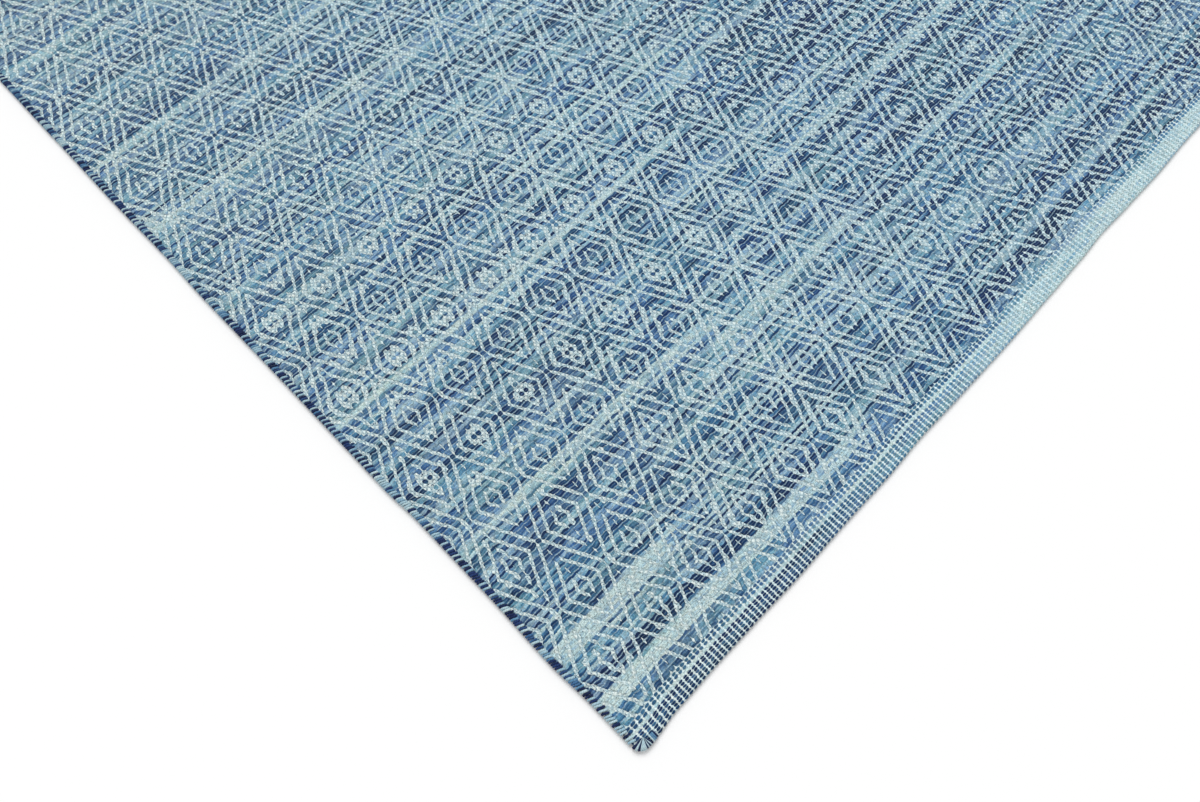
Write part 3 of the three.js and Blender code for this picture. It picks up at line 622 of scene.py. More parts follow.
# ---- mesh making -------------------------------------------------------------------
def make_mesh(name, verts, quad_faces, tri_faces, corner=None, face=None, uv=None, vertex_normals=None, smooth_on=True):
    """A mesh from arrays. corner and face are dicts of float-vector attributes by loop and face."""
    me = bpy.data.meshes.new(name)
    nq, nt = len(quad_faces), len(tri_faces)
    loops = np.concatenate([np.asarray(quad_faces, np.int32).ravel(), np.asarray(tri_faces, np.int32).ravel()])
    me.vertices.add(len(verts))
    me.vertices.foreach_set("co", np.asarray(verts, np.float32).ravel())
    me.loops.add(len(loops))
    me.loops.foreach_set("vertex_index", loops)
    me.polygons.add(nq + nt)
    starts = np.concatenate([np.arange(nq) * 4, nq * 4 + np.arange(nt) * 3]).astype(np.int32)
    me.polygons.foreach_set("loop_start", starts)
    me.polygons.foreach_set("use_smooth", np.full(nq + nt, smooth_on))
    me.update(calc_edges=True)
    for key, data in (corner or {}).items():
        a = me.attributes.new(key, "FLOAT_VECTOR", "CORNER")
        a.data.foreach_set("vector", np.asarray(data, np.float32).ravel())
    for key, data in (face or {}).items():
        a = me.attributes.new(key, "FLOAT_VECTOR", "FACE")
        a.data.foreach_set("vector", np.asarray(data, np.float32).ravel())
    if uv is not None:
        layer = me.uv_layers.new(name="OFBake")
        layer.data.foreach_set("uv", np.clip(np.asarray(uv, np.float32), 0.0005, 0.9995).ravel())
    if vertex_normals is not None:
        me.normals_split_custom_set_from_vertices(vertex_normals.astype(float).tolist())
    ob = bpy.data.objects.new(name, me)
    bpy.context.collection.objects.link(ob)
    return ob


def panel(ix, iy):
    c0, c1, r0, r1 = seam_c[ix], seam_c[ix + 1], seam_r[iy], seam_r[iy + 1]
    l0, l1 = int(np.where(low_cols == c0)[0][0]), int(np.where(low_cols == c1)[0][0])
    x0, x1 = col_x[c0], col_x[c1]
    y0, y1 = row_y[r0], row_y[r1]
    qf, qw, qt, quv = [], [], [], []
    tf, tw, tt, tuv = [], [], [], []

    def plane_uv(idx, low_part, xs_of, ys_of):
        u = 0.01 + 0.98 * (xs_of - x0) / (x1 - x0)
        t = (ys_of - y0) / (y1 - y0)
        v = 0.012 + 0.2 * t if low_part else 0.262 + 0.7 * t
        return np.stack([u, v], -1)

    # the upper face
    f = quads(at_top)[r0:r1, c0:c1]
    qf.append(f.reshape(-1, 4))
    qw.append(weave_top[r0:r1, c0:c1].reshape(-1, 2))
    qt.append(tone_top[r0:r1, c0:c1].reshape(-1, 3))
    quv.append(plane_uv(f, False, col_x[f % NC], row_y[f // NC]).reshape(-1, 2))
    # the underside
    f = low_f[r0:r1, l0:l1]
    i = f - at_low[0, 0]
    qf.append(f.reshape(-1, 4))
    qw.append(low_w[r0:r1, l0:l1].reshape(-1, 2))
    qt.append(low_t[r0:r1, l0:l1].reshape(-1, 3))
    quv.append(plane_uv(f, True, col_x[low_cols[i % NL]], row_y[i // NL]).reshape(-1, 2))

    def add_tris(tris, flip, e_of, second, zone, v_band, tone):
        tris = tris[:, ::-1] if flip else tris
        if not len(tris):
            return
        tf.append(tris)
        w = np.stack([e_of(tris), np.full(tris.shape, second)], -1)
        tw.append(w.reshape(-1, 2))
        tt.append(np.tile([tone, 0.1, zone], (len(tris), 1)))
        u = 0.01 + 0.98 * (points[tris][..., 0] / MM - x0) / (x1 - x0)
        v = v_band + 0.006 * np.where(points[tris][..., 2] / MM > 2.2, 1.0, 0.0)
        tuv.append(np.stack([u, v], -1).reshape(-1, 2))

    def e_points(tris):
        return (points[tris][..., 0] / MM - CENTRE_X) / END_PITCH

    # the two ends of the panel: a rim where the rug ends, a plain wall at a seam
    for side, r in ((-1, r0), (1, r1)):
        v_band = 0.222 if side < 0 else 0.975
        if r in (0, NR - 1):
            faces, w, t = (near_f, near_w, near_t) if side < 0 else (far_f, far_w, far_t)
            f = faces[:, c0:c1]
            qf.append(f.reshape(-1, 4))
            qw.append(w[:, c0:c1].reshape(-1, 2))
            qt.append(t[:, c0:c1].reshape(-1, 3))
            base = at_near[0, 0] if side < 0 else at_far[0, 0]
            edge = f < n_top
            k = np.where(edge, 0, (f - base) // NC + 1)
            col = np.where(edge, f % NC, (f - base) % NC)
            u = 0.01 + 0.98 * (col_x[col] - x0) / (x1 - x0)
            v = v_band + (0.028 * (1 - k / K) if side < 0 else 0.0 + 0.02 * k / K)
            quv.append(np.stack([u, v], -1).reshape(-1, 2))
            fine_line = (at_near if side < 0 else at_far)[-1]
        else:
            fine_line = at_top[r]
        tris = column_bridge(fine_line, at_low[r], c0, c1, l0, l1)
        add_tris(tris, side < 0, e_points, -1.0, ZONE_BAND, 0.252 if side < 0 else 0.2155, 0.3)
    # and its two sides
    for side, c, l in ((-1, c0, l0), (1, c1, l1)):
        a, b = at_top[r0:r1 + 1, c], at_low[r0:r1 + 1, l]
        q = np.stack([a[:-1], a[1:], b[1:], b[:-1]], -1)
        if side > 0:
            q = q[:, ::-1]
        qf.append(q)
        w = np.stack([e_points(q), np.full(q.shape, -1.0)], -1)
        qw.append(w.reshape(-1, 2))
        qt.append(np.tile([0.3, 0.1, ZONE_BAND], (len(q), 1)))
        v = 0.262 + 0.7 * (points[q][..., 1] / MM - y0) / (y1 - y0)
        u = (0.002 if side < 0 else 0.993) + 0.004 * np.where(points[q][..., 2] / MM > 2.2, 1.0, 0.0)
        quv.append(np.stack([u, v], -1).reshape(-1, 2))
        # the rim's end at a side: a fan that closes it
        for r, rim_at, sg in ((r0, at_near, -1), (r1, at_far, 1)):
            if r in (0, NR - 1):
                line = np.concatenate([[at_top[r, c]], rim_at[:, c], [at_low[r, l]]])
                tris = np.array([(line[0], line[i], line[i + 1]) for i in range(1, len(line) - 1)])
                add_tris(tris, (side > 0) == (sg > 0), e_points, -1.0, ZONE_BAND, 0.252 if side < 0 else 0.2155, 0.3)

    qf, tf = np.concatenate(qf), np.concatenate(tf) if tf else np.zeros((0, 3), int)
    used = np.unique(np.concatenate([qf.ravel(), tf.ravel()]))
    remap = np.full(len(points), -1, np.int64)
    remap[used] = np.arange(len(used))
    w = np.concatenate(qw + tw)
    weave = np.concatenate([w, np.zeros((len(w), 1))], 1)
    face = np.concatenate(qt + tt)
    uv = np.concatenate(quv + tuv)
    name = f"cloth_panel_{'abc'[ix]}{iy + 1}"
    return make_mesh(
        name, points[used], remap[qf], remap[tf],
        corner={"weave": weave}, face={"tones": face}, uv=uv, vertex_normals=normals[used],
    ), (x1 - x0, y1 - y0)


# ---- node helper -------------------------------------------------------------------
class Graph:
    def __init__(self, tree):
        self.tree = tree

    def put(self, socket, value):
        if isinstance(value, Val):
            self.tree.links.new(value.socket, socket)
        elif isinstance(value, bpy.types.NodeSocket):
            self.tree.links.new(value, socket)
        else:
            socket.default_value = value

    def math(self, op, *args, clamp=False):
        n = self.tree.nodes.new("ShaderNodeMath")
        n.operation, n.use_clamp = op, clamp
        for s, v in zip(n.inputs, args):
            self.put(s, v)
        return Val(self, n.outputs[0])

    def mix(self, t, a, b):
        n = self.tree.nodes.new("ShaderNodeMix")
        n.data_type = "FLOAT"
        for s, v in zip((n.inputs[0], n.inputs[2], n.inputs[3]), (t, a, b)):
            self.put(s, v)
        return Val(self, n.outputs[0])

    def mix_colour(self, t, a, b, blend="MIX"):
        n = self.tree.nodes.new("ShaderNodeMix")
        n.data_type, n.blend_type = "RGBA", blend
        self.put(n.inputs[0], t)
        self.put(n.inputs[6], a)
        self.put(n.inputs[7], b)
        return n.outputs[2]

    def step(self, value, low, high, to_low=0.0, to_high=1.0, kind="SMOOTHSTEP"):
        n = self.tree.nodes.new("ShaderNodeMapRange")
        n.interpolation_type = kind
        for s, v in zip(n.inputs, (value, low, high, to_low, to_high)):
            self.put(s, v)
        return Val(self, n.outputs[0])

    def ramp(self, value, stops):
        n = self.tree.nodes.new("ShaderNodeValToRGB")
        ramp = n.color_ramp
        while len(ramp.elements) < len(stops):
            ramp.elements.new(0.5)
        for el, (at, colour) in zip(ramp.elements, stops):
            el.position, el.color = at, colour
        self.put(n.inputs[0], value)
        return n.outputs[0]

    def noise(self, vector, scale, detail=2.0, rough=0.5):
        n = self.tree.nodes.new("ShaderNodeTexNoise")
        n.inputs["Scale"].default_value = scale
        n.inputs["Detail"].default_value = detail
        n.inputs["Roughness"].default_value = rough
        self.put(n.inputs["Vector"], vector)
        return Val(self, n.outputs["Fac"])

    def drift(self, vector, scale):
        n = self.tree.nodes.new("ShaderNodeTexNoise")
        n.inputs["Scale"].default_value = scale
        n.inputs["Detail"].default_value = 0.0
        self.put(n.inputs["Vector"], vector)
        return self.split(n.outputs["Color"])

    def join(self, x, y, z):
        n = self.tree.nodes.new("ShaderNodeCombineXYZ")
        for s, v in zip(n.inputs, (x, y, z)):
            self.put(s, v)
        return n.outputs[0]

    def split(self, vector):
        n = self.tree.nodes.new("ShaderNodeSeparateXYZ")
        self.put(n.inputs[0], vector)
        return [Val(self, o) for o in n.outputs]

    def attribute(self, name):
        n = self.tree.nodes.new("ShaderNodeAttribute")
        n.attribute_name = name
        return n.outputs["Vector"]


class Val:
    def __init__(self, graph, socket):
        self.g, self.socket = graph, socket

    def __add__(self, o):
        return self.g.math("ADD", self, o)

    def __radd__(self, o):
        return self.g.math("ADD", o, self)

    def __sub__(self, o):
        return self.g.math("SUBTRACT", self, o)

    def __rsub__(self, o):
        return self.g.math("SUBTRACT", o, self)

    def __mul__(self, o):
        return self.g.math("MULTIPLY", self, o)

    def __rmul__(self, o):
        return self.g.math("MULTIPLY", o, self)

    def __truediv__(self, o):
        return self.g.math("DIVIDE", self, o)


def srgb(r, g, b):
    def lin(v):
        v /= 255.0
        return v / 12.92 if v <= 0.04045 else ((v + 0.055) / 1.055) ** 2.4
    return (lin(r), lin(g), lin(b), 1.0)


# dyed yarn from pale to near-black navy
DYE = [
    (0.00, srgb(186, 207, 205)),
    (0.10, srgb(167, 195, 200)),
    (0.25, srgb(136, 169, 188)),
    (0.50, srgb(90, 130, 160)),
    (0.75, srgb(50, 87, 126)),
    (0.90, srgb(29, 60, 101)),
    (1.00, srgb(20, 42, 79)),
]
TEAL_DYE = [
    (0.0, srgb(180, 204, 200)), (0.4, srgb(98, 144, 156)), (0.7, srgb(54, 98, 126)), (1.0, srgb(28, 46, 84)),
]
# the warp's colour on its lit knuckles, then the warp in painted shade between them, then the ground showing in slits
WARP_PALE, WARP_SHADED, SLIT_PALE = srgb(209, 223, 222), srgb(158, 182, 189), srgb(165, 193, 206)
FAR_TINT = (0.955, 1.0, 1.04, 1.0)    # the yarn turns a little bluer away from the left side
CREAM, AQUA = (1.04, 1.0, 0.975, 1.0), (0.965, 1.0, 1.02, 1.0)
VIOLET, GREENER = (1.055, 0.955, 1.04, 1.0), (0.925, 1.055, 0.975, 1.0)
BLUER, GREYER = (0.905, 1.0, 1.075, 1.0), (1.1, 1.0, 0.925, 1.0)
FLOAT_REACH = 0.87                   # how far a weft float covers the end beside it


def woven_material():
    m = bpy.data.materials.new("woven_cloth")
    m.use_nodes = True
    tree = m.node_tree
    tree.nodes.clear()
    g = Graph(tree)
    e, p, _ = g.split(g.attribute("weave"))
    ta, tb, zone = g.split(g.attribute("tones"))
    back = g.math("GREATER_THAN", zone, 1.5)
    band = g.math("MODULO", zone, 2.0)

    # the yarns wander a little, so that no two floats are alike
    wander_e, wander_p, tint = g.drift(g.join(e * 0.6, p * 0.9, 5.0), 1.0)
    e0, p0 = e, p
    e = e + (wander_e - 0.5) * 0.6
    p = p + (wander_p - 0.5) * 0.4

    # ---- patterned field: four shed states round the point
    i, j = g.math("FLOOR", e), g.math("FLOOR", p)
    fe, fp = e - i, p - j

    def treadle(v):
        d = g.math("PINGPONG", v, 11.0)
        return d + g.math("GREATER_THAN", d, 10.5) - g.math("LESS_THAN", d, 0.5)

    d0, d1 = treadle(i), treadle(i + 1.0)
    q0 = g.math("PINGPONG", j, 10.0) + back * 2.0
    q1 = g.math("PINGPONG", j + 1.0, 10.0) + back * 2.0

    def shed(d, q):
        return g.math("LESS_THAN", g.math("FLOORED_MODULO", d + q, 4.0), 1.5)

    s00, s10, s01, s11 = shed(d0, q0), shed(d1, q0), shed(d0, q1), shed(d1, q1)
    over = g.mix(fe, g.mix(fp, s00, s01), g.mix(fp, s10, s11))     # weft on top, 0 to 1
    ex = g.math("PINGPONG", e, 0.5)                    # from the nearest end
    py = g.math("PINGPONG", p, 0.5)                    # from the nearest pick
    sy = g.math("ABSOLUTE", py - 0.25) * 4.0           # from the nearest strand, 0 to 1
    # the plump floats of the weft hide part of the warp end beside them, most at their middle
    field_mask = g.step(over - (py * py) * 1.2 - (1.0 - FLOAT_REACH), -0.05, 0.05)
    warp_round = g.math("SQRT", g.math("MAXIMUM", 1.0 - (ex * ex) * (1 / 0.52 ** 2), 0.0))
    weft_round = g.math("SQRT", g.math("MAXIMUM", 1.0 - (sy * sy) * 0.92, 0.0))
    # the warp shows as a chequer of knuckles: odd ends at a pick, even ones between picks
    bead = 0.5 - g.math("COSINE", e * math.pi) * g.math("COSINE", p * (2 * math.pi)) * 0.5
    warp_z = warp_round * 0.16 + bead * 0.3
    weft_z = g.step(over, 0.1, 0.75) * 0.32 + weft_round * 0.34 + 0.06
    field_z = g.mix(field_mask, warp_z, weft_z)

    # ---- end band: dashes stacked in columns two ends apart
    de = g.math("PINGPONG", e, 1.0)                    # 0 at even ends, 1 at odd ones
    db = 0.5 - g.math("PINGPONG", p, 0.5)              # 0 at a row's middle, 0.5 between rows
    ax, ay = (de * de) * (1 / 0.75 ** 2), (db * db) * (1 / 0.4 ** 2)
    dash = 1.0 - (ax * ax) - (ay * ay)
    band_mask = g.step(dash, -0.2, 0.3)
    od = 1.0 - de
    between = 0.5 - g.math("COSINE", db * (2 * math.pi)) * 0.5
    band_bead = g.math("MAXIMUM", 1.0 - (od * od) * (1 / 0.62 ** 2), 0.0) * (between * 0.5 + 0.5)
    band_z = g.math("MAXIMUM", g.step(dash, -0.6, 0.9) * 0.34, band_bead * 0.34)

    mask = g.mix(band, field_mask, band_mask)
    height = g.mix(band, field_z, band_z)
    # the knuckles' height, used below as a painted highlight on the warp
    knuckle_highlight = g.mix(band, bead, band_bead)

    # ---- yarn tones
    place_n = tree.nodes.new("ShaderNodeNewGeometry")
    pos = place_n.outputs["Position"]
    fuzz = g.noise(g.join(e0 * 1.9, p0 * 5.0, zone), 1.0, 3.0, 0.62)    # dashes a few mm long
    hair = g.noise(pos, 800.0, 1.0, 0.6)                                # fibres
    speck = g.noise(pos, 380.0, 1.0, 0.5)
    cloud = g.noise(pos, 9.0, 2.0, 0.5)
    strand_up = g.math("GREATER_THAN", p - g.math("ROUND", p), 0.0)
    weft_tone = g.mix(band, g.mix(strand_up, ta, tb), ta)
    # four yarns lie side by side in a pick, each dyed a little differently
    yarn = g.noise(g.join(e0 * 0.22, g.math("FLOOR", p * 4.0) * 3.7, 31.0), 1.0, 1.0, 0.5)
    weft_tone = weft_tone + (fuzz - 0.5) * 0.2 + (hair - 0.5) * 0.2
    weft_tone = weft_tone + (yarn - 0.5) * 0.7 * g.math("SUBTRACT", 1.0, band)
    weft = g.ramp(weft_tone, DYE)
    teal = g.step(g.noise(g.join(e0 * 0.05, p0 * 0.9, 3.0), 1.0, 1.0, 0.5), 0.45, 0.68)
    weft = g.mix_colour(teal * 0.4, weft, g.ramp(weft_tone, TEAL_DYE))
    warp_n = g.noise(g.join(e0 * 0.7, p0 * 0.6, 7.0), 1.0, 2.0, 0.6)
    # painted highlight on the warp's knuckles and painted shade between them, broken up by noise
    pale = g.step(knuckle_highlight + (warp_n - 0.5) * 0.8 + (hair - 0.5) * 0.8, 0.05, 0.95)
    warp = g.mix_colour(pale, WARP_SHADED, WARP_PALE)
    # between two raised ends the weft shows at the bottom of a slot
    slot = g.step(ex, 0.28, 0.48) * g.step(sy, 0.75, 0.3) * g.math("SUBTRACT", 1.0, band)
    warp = g.mix_colour(slot * 0.85, warp, weft)
    # where two picks meet, and a little where two strands do, the ground shines through
    meet = g.math("MAXIMUM", g.step(py, 0.37, 0.48) * 0.85, g.step(py, 0.0, 0.08, 0.24, 0.0)) * g.math("SUBTRACT", 1.0, band)
    # the dye differs from lot to lot, and a little within one float
    hue = g.noise(g.join(e0 * 0.3, p0 * 1.0, 11.0), 1.0, 0.0) * 0.25 + g.noise(g.join(e0 * 0.03, p0 * 0.3, 17.0), 1.0, 0.0) * 0.75
    depth = g.noise(g.join(e0 * 0.35, p0 * 1.1, 23.0), 1.0, 0.0) * 0.25 + g.noise(g.join(e0 * 0.025, p0 * 0.25, 41.0), 1.0, 0.0) * 0.75
    much = g.step(weft_tone, 0.1, 0.5, 0.12, 1.0)       # pale yarn takes up little of the dye's differences
    weft = g.mix_colour(much, weft, g.mix_colour(g.step(hue, 0.4, 0.6), VIOLET, GREENER), "MULTIPLY")
    weft = g.mix_colour(much, weft, g.mix_colour(g.step(depth, 0.4, 0.6), GREYER, BLUER), "MULTIPLY")
    weft = g.mix_colour(meet * g.step(warp_n, 0.3, 0.7, 0.6, 1.2), weft, SLIT_PALE)
    colour = g.mix_colour(mask, warp, weft)
    colour = g.mix_colour(g.step(e0, 0.0, 180.0), colour, g.mix_colour(1.0, colour, FAR_TINT, "MULTIPLY"))
    colour = g.mix_colour(1.0, colour, g.mix_colour(g.step(tint, 0.34, 0.66), AQUA, CREAM), "MULTIPLY")

    # painted shade in the crevices between yarns: at float ends, where picks and yarns meet, on the warp's rounded
    # flanks and in the band's low places, with a slight painted highlight on raised tops
    weft_painted_shade = g.mix(g.step(over, 0.15, 0.6), 0.7, 1.05) * g.mix(g.step(py, 0.5, 0.3), 0.84, 1.0)
    weft_painted_shade = weft_painted_shade * (0.94 - g.math("COSINE", p * (8 * math.pi)) * 0.08)
    warp_painted_shade = g.mix(warp_round, 0.84, 1.0)
    field_painted_shade = g.mix(field_mask, warp_painted_shade, weft_painted_shade)
    band_painted_shade = g.mix(g.step(band_z, 0.0, 0.22), 0.78, 1.02)
    painted_shade_and_noise = g.mix(band, field_painted_shade, band_painted_shade) + (cloud - 0.5) * 0.06
    fibre = (hair - 0.5) * g.mix(mask, 1.6, 2.0) + (speck - 0.5) * 0.2
    painted_shade_and_grain = g.join(painted_shade_and_noise + fibre * 1.02, painted_shade_and_noise + fibre, painted_shade_and_noise + fibre * 0.98)
    # the painted shade and highlight, cloud mottle and fibre grain multiply the yarn colour together
    colour = g.mix_colour(1.0, colour, painted_shade_and_grain, "MULTIPLY")

    bump = tree.nodes.new("ShaderNodeBump")
    bump.inputs["Strength"].default_value = 0.8
    bump.inputs["Distance"].default_value = 0.001
    g.put(bump.inputs["Height"], height * 0.75 + (hair - 0.5) * 0.25)
    bsdf = tree.nodes.new("ShaderNodeBsdfPrincipled")
    bsdf.inputs["Specular IOR Level"].default_value = 0.12
    bsdf.inputs["Sheen Weight"].default_value = 0.06
    g.put(bsdf.inputs["Roughness"], g.step(hair, 0.2, 0.8, 0.82, 0.97, "LINEAR"))
    g.put(bsdf.inputs["Base Color"], colour)
    g.put(bsdf.inputs["Normal"], bump.outputs[0])
    out = tree.nodes.new("ShaderNodeOutputMaterial")
    tree.links.new(bsdf.outputs[0], out.inputs[0])
    return m


def yarn_material():
    m = bpy.data.materials.new("overcast_yarn")
    m.use_nodes = True
    tree = m.node_tree
    tree.nodes.clear()
    g = Graph(tree)
    tone, _, kind = g.split(g.attribute("tones"))
    along, around, _ = g.split(g.attribute("weave"))   # millimetres along, turns round
    pos = tree.nodes.new("ShaderNodeNewGeometry").outputs["Position"]
    hair = g.noise(pos, 900.0, 2.0, 0.6)
    tint = g.noise(g.join(along * 0.22, kind * 31.0, 1.0), 1.0, 2.0, 0.5)
    ply = g.math("ABSOLUTE", g.math("SINE", around * (2 * math.pi) + along * 1.25))
    t = tone + (tint - 0.5) * 0.3 + (hair - 0.5) * 0.16
    colour = g.ramp(t, [
        (0.00, srgb(190, 212, 216)), (0.20, srgb(158, 190, 204)), (0.42, srgb(100, 144, 176)),
        (0.62, srgb(62, 104, 148)), (0.80, srgb(36, 56, 104)), (1.00, srgb(22, 34, 68))])
    # painted shade in the grooves of the ply twist and a slight painted highlight on its crowns, with fibre grain
    painted_shade_and_noise = g.mix(g.step(ply, 0.0, 0.75), 0.74, 1.04) + (hair - 0.5) * 0.14
    colour = g.mix_colour(1.0, colour, g.join(painted_shade_and_noise, painted_shade_and_noise, painted_shade_and_noise), "MULTIPLY")
    bump = tree.nodes.new("ShaderNodeBump")
    bump.inputs["Strength"].default_value = 0.7
    bump.inputs["Distance"].default_value = 0.001
    g.put(bump.inputs["Height"], ply * 0.22 + hair * 0.14)
    bsdf = tree.nodes.new("ShaderNodeBsdfPrincipled")
    bsdf.inputs["Specular IOR Level"].default_value = 0.15
    bsdf.inputs["Sheen Weight"].default_value = 0.06
    g.put(bsdf.inputs["Roughness"], g.step(hair, 0.2, 0.8, 0.78, 0.95, "LINEAR"))
    g.put(bsdf.inputs["Base Color"], colour)
    g.put(bsdf.inputs["Normal"], bump.outputs[0])
    out = tree.nodes.new("ShaderNodeOutputMaterial")
    tree.links.new(bsdf.outputs[0], out.inputs[0])
    return m


cloth_mat, yarn_mat = woven_material(), yarn_material()

# ---- panels of the cloth --------------------------------------------------------------
panels = []
for iy in range(PANELS_Y):
    for ix in range(PANELS_X):
        ob, flat = panel(ix, iy)
        ob.data.materials.append(cloth_mat)
        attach(ob, "root")
        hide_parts("woven_cloth")
        flat[0] * MM
        flat[1] * MM
        panels.append(ob)

# ---- overcast stitches ------------------------------------------------------------------
# One stitch in section: distance in from the outer edge and height of the yarn's middle, from
# its inner end on the top, round the edge, to its inner end below.
SECTION = [
    (8.5, 3.3), (7.9, 4.05), (6.4, 4.38), (4.4, 4.42), (2.4, 4.28), (1.25, 3.75),
    (0.95, 2.75), (1.25, 1.75), (2.6, 1.12), (4.6, 1.04), (6.6, 1.06), (8.0, 1.5),
]
SIDES = 6
SLANT = 2.7                          # the outer end lies this much further from the near corner


def outline(t, n):
    """A point n millimetres in from the outer edge. t runs along it: 0 at the near end of the
    long side's straight run, negative round the near corner and along the near end."""
    run = LENGTH - 2 * CORNER_R
    quarter = math.pi / 2 * CORNER_R
    r = CORNER_R - n
    if t < -quarter:
        return (-(HX - CORNER_R) + (-quarter - t), -HY + n), (-1.0, 0.0)
    if t < 0:
        a = math.pi + (-t) / CORNER_R
        return (-(HX - CORNER_R) + r * math.cos(a), -(HY - CORNER_R) + r * math.sin(a)), (math.sin(a), -math.cos(a))
    if t <= run:
        return (-HX + n, -(HY - CORNER_R) + t), (0.0, 1.0)
    if t < run + quarter:
        a = math.pi - (t - run) / CORNER_R
        return (-(HX - CORNER_R) + r * math.cos(a), (HY - CORNER_R) + r * math.sin(a)), (math.sin(a), -math.cos(a))
    return (-(HX - CORNER_R) + (t - run - quarter), HY - n), (1.0, 0.0)


# The stitches along an end, from the last one towards the corner: distance from the corner,
# tone, half width and reach.
END_STRIP = [
    {"at": 23.9, "tone": 0.94, "half": 0.9, "reach": 6.4},
    {"at": 22.1, "tone": 0.5, "half": 1.0, "reach": 7.2},
    {"at": 20.4, "tone": 0.42, "half": 1.0, "reach": 7.4},
    {"at": 18.7, "tone": 0.08, "half": 0.9, "reach": 8.0},
]
# The fan round the corner: degrees, 180 towards the long side and 270 towards the end, tone and
# half width at the edge.
FAN = [
    {"angle": 287, "tone": 0.97, "half": 1.05}, {"angle": 277.5, "tone": 0.08, "half": 1.0},
    {"angle": 268, "tone": 0.97, "half": 1.1}, {"angle": 259, "tone": 0.1, "half": 1.0},
    {"angle": 250, "tone": 0.96, "half": 1.15}, {"angle": 240, "tone": 0.06, "half": 1.4},
    {"angle": 229, "tone": 0.1, "half": 1.5}, {"angle": 217.5, "tone": 0.06, "half": 1.45},
    {"angle": 206, "tone": 0.96, "half": 1.4}, {"angle": 195, "tone": 0.08, "half": 1.4},
    {"angle": 182, "tone": 0.94, "half": 1.6},
]
# Darker stitches of a long side, by distance from the near corner; the others there are pale.
SIDE_DARK = [
    {"at": 18.8, "tone": 0.97}, {"at": 31.2, "tone": 0.93}, {"at": 44.6, "tone": 0.95}, {"at": 50.6, "tone": 0.95},
    {"at": 58.6, "tone": 0.85}, {"at": 65.0, "tone": 0.95}, {"at": 68.0, "tone": 0.97}, {"at": 73.6, "tone": 0.95},
    {"at": 77.5, "tone": 0.45}, {"at": 82.0, "tone": 0.6}, {"at": 86.0, "tone": 0.5}, {"at": 92.5, "tone": 0.75},
    {"at": 98.5, "tone": 0.75}, {"at": 102.0, "tone": 0.9}, {"at": 104.8, "tone": 0.8}, {"at": 107.6, "tone": 0.92},
    {"at": 110.5, "tone": 0.9}, {"at": 114.0, "tone": 0.55}, {"at": 121.0, "tone": 0.4}, {"at": 128.5, "tone": 0.75},
    {"at": 131.3, "tone": 0.95}, {"at": 137.0, "tone": 0.65}, {"at": 140.0, "tone": 0.7}, {"at": 143.0, "tone": 0.62},
    {"at": 147.5, "tone": 0.92},
]
CHARTED = 150.0


def stitch_list(rng):
    """Where each stitch stands, its slant, width, reach and tone, from the near end's strip
    round the corner, along the side and round the far corner."""
    run, quarter = LENGTH - 2 * CORNER_R, math.pi / 2 * CORNER_R
    near = [{"at": -quarter - (r["at"] - CORNER_R), "slant": 0.0, "half": r["half"], "reach": r["reach"],
             "tone": r["tone"], "angle": None} for r in END_STRIP]
    near += [{"at": -quarter, "slant": 0.0, "half": r["half"], "reach": 0.0, "tone": r["tone"], "angle": r["angle"]}
             for r in FAN]
    far = [dict(r) for r in near[::-1]]
    for r in far:
        r["at"] = run - r["at"]
    out = list(near)
    # the side: pale near the corner with single dark stitches, then dark and pale in turns
    t, dark, mood = 2.4, False, 0.5
    while t < run - 2.6:
        y = t + CORNER_R
        seen = y - CORNER_BULGE * (1 - float(smooth(np.array((y - 8) / 46))))
        u, v = rng.rand(), rng.rand()
        if seen < CHARTED:
            close = [r["tone"] for r in SIDE_DARK if abs(r["at"] - seen) <= STITCH_PITCH / 2]
            tone = close[0] if close else 0.05 + 0.2 * v
        else:
            mood = float(np.clip(mood + 0.16 * rng.randn(), 0.12, 0.8))
            dark = u < (mood * 0.55 if dark else mood * 1.35)
            tone = 0.72 + 0.26 * v if dark else (0.04 + 0.26 * v if rng.rand() < 0.72 else 0.3 + 0.3 * v)
        out.append({"at": t, "slant": SLANT * (0.45 + 0.55 * float(smooth(np.array(t / 30.0)))) + 0.35 * rng.randn(),
                    "half": 1.27 + 0.12 * rng.randn(), "reach": 7.7 + 0.5 * rng.randn(), "tone": tone, "angle": None})
        t += STITCH_PITCH * (1 + 0.1 * float(np.clip(rng.randn(), -1.6, 1.6)))
    return out + far


def to_edge(hub, ray):
    """How far it is from a point of the plan to the rounded outline at the corner at -X, -Y."""
    lo, hi = 0.0, 40.0
    for _ in range(40):
        mid = (lo + hi) / 2
        q = hub + ray * mid
        dx, dy = (-HX + CORNER_R) - q[0], (-HY + CORNER_R) - q[1]
        outside = math.hypot(max(dx, 0), max(dy, 0)) if dx > 0 and dy > 0 else max(dx, dy)
        lo, hi = (lo, mid) if outside > CORNER_R else (mid, hi)
    return lo


def tube(centre, side_dir, half_width, half_height, n_sides):
    """Rings of an oval tube along centre points; side_dir is along the rug's edge."""
    n = len(centre)
    tangent = np.gradient(centre, axis=0)
    tangent /= np.linalg.norm(tangent, axis=1)[:, None] + 1e-12
    side = side_dir - tangent * np.sum(side_dir * tangent, axis=1)[:, None]
    side /= np.linalg.norm(side, axis=1)[:, None] + 1e-12
    up = np.cross(tangent, side)
    ang = np.arange(n_sides) / n_sides * 2 * math.pi + math.pi / n_sides
    taper = np.ones(n)
    taper[0], taper[-1] = 0.55, 0.55
    ring = (
        centre[:, None]
        + side[:, None] * (np.cos(ang)[None, :, None] * half_width * taper[:, None, None])
        + up[:, None] * (np.sin(ang)[None, :, None] * half_height * taper[:, None, None])
    )
    return ring


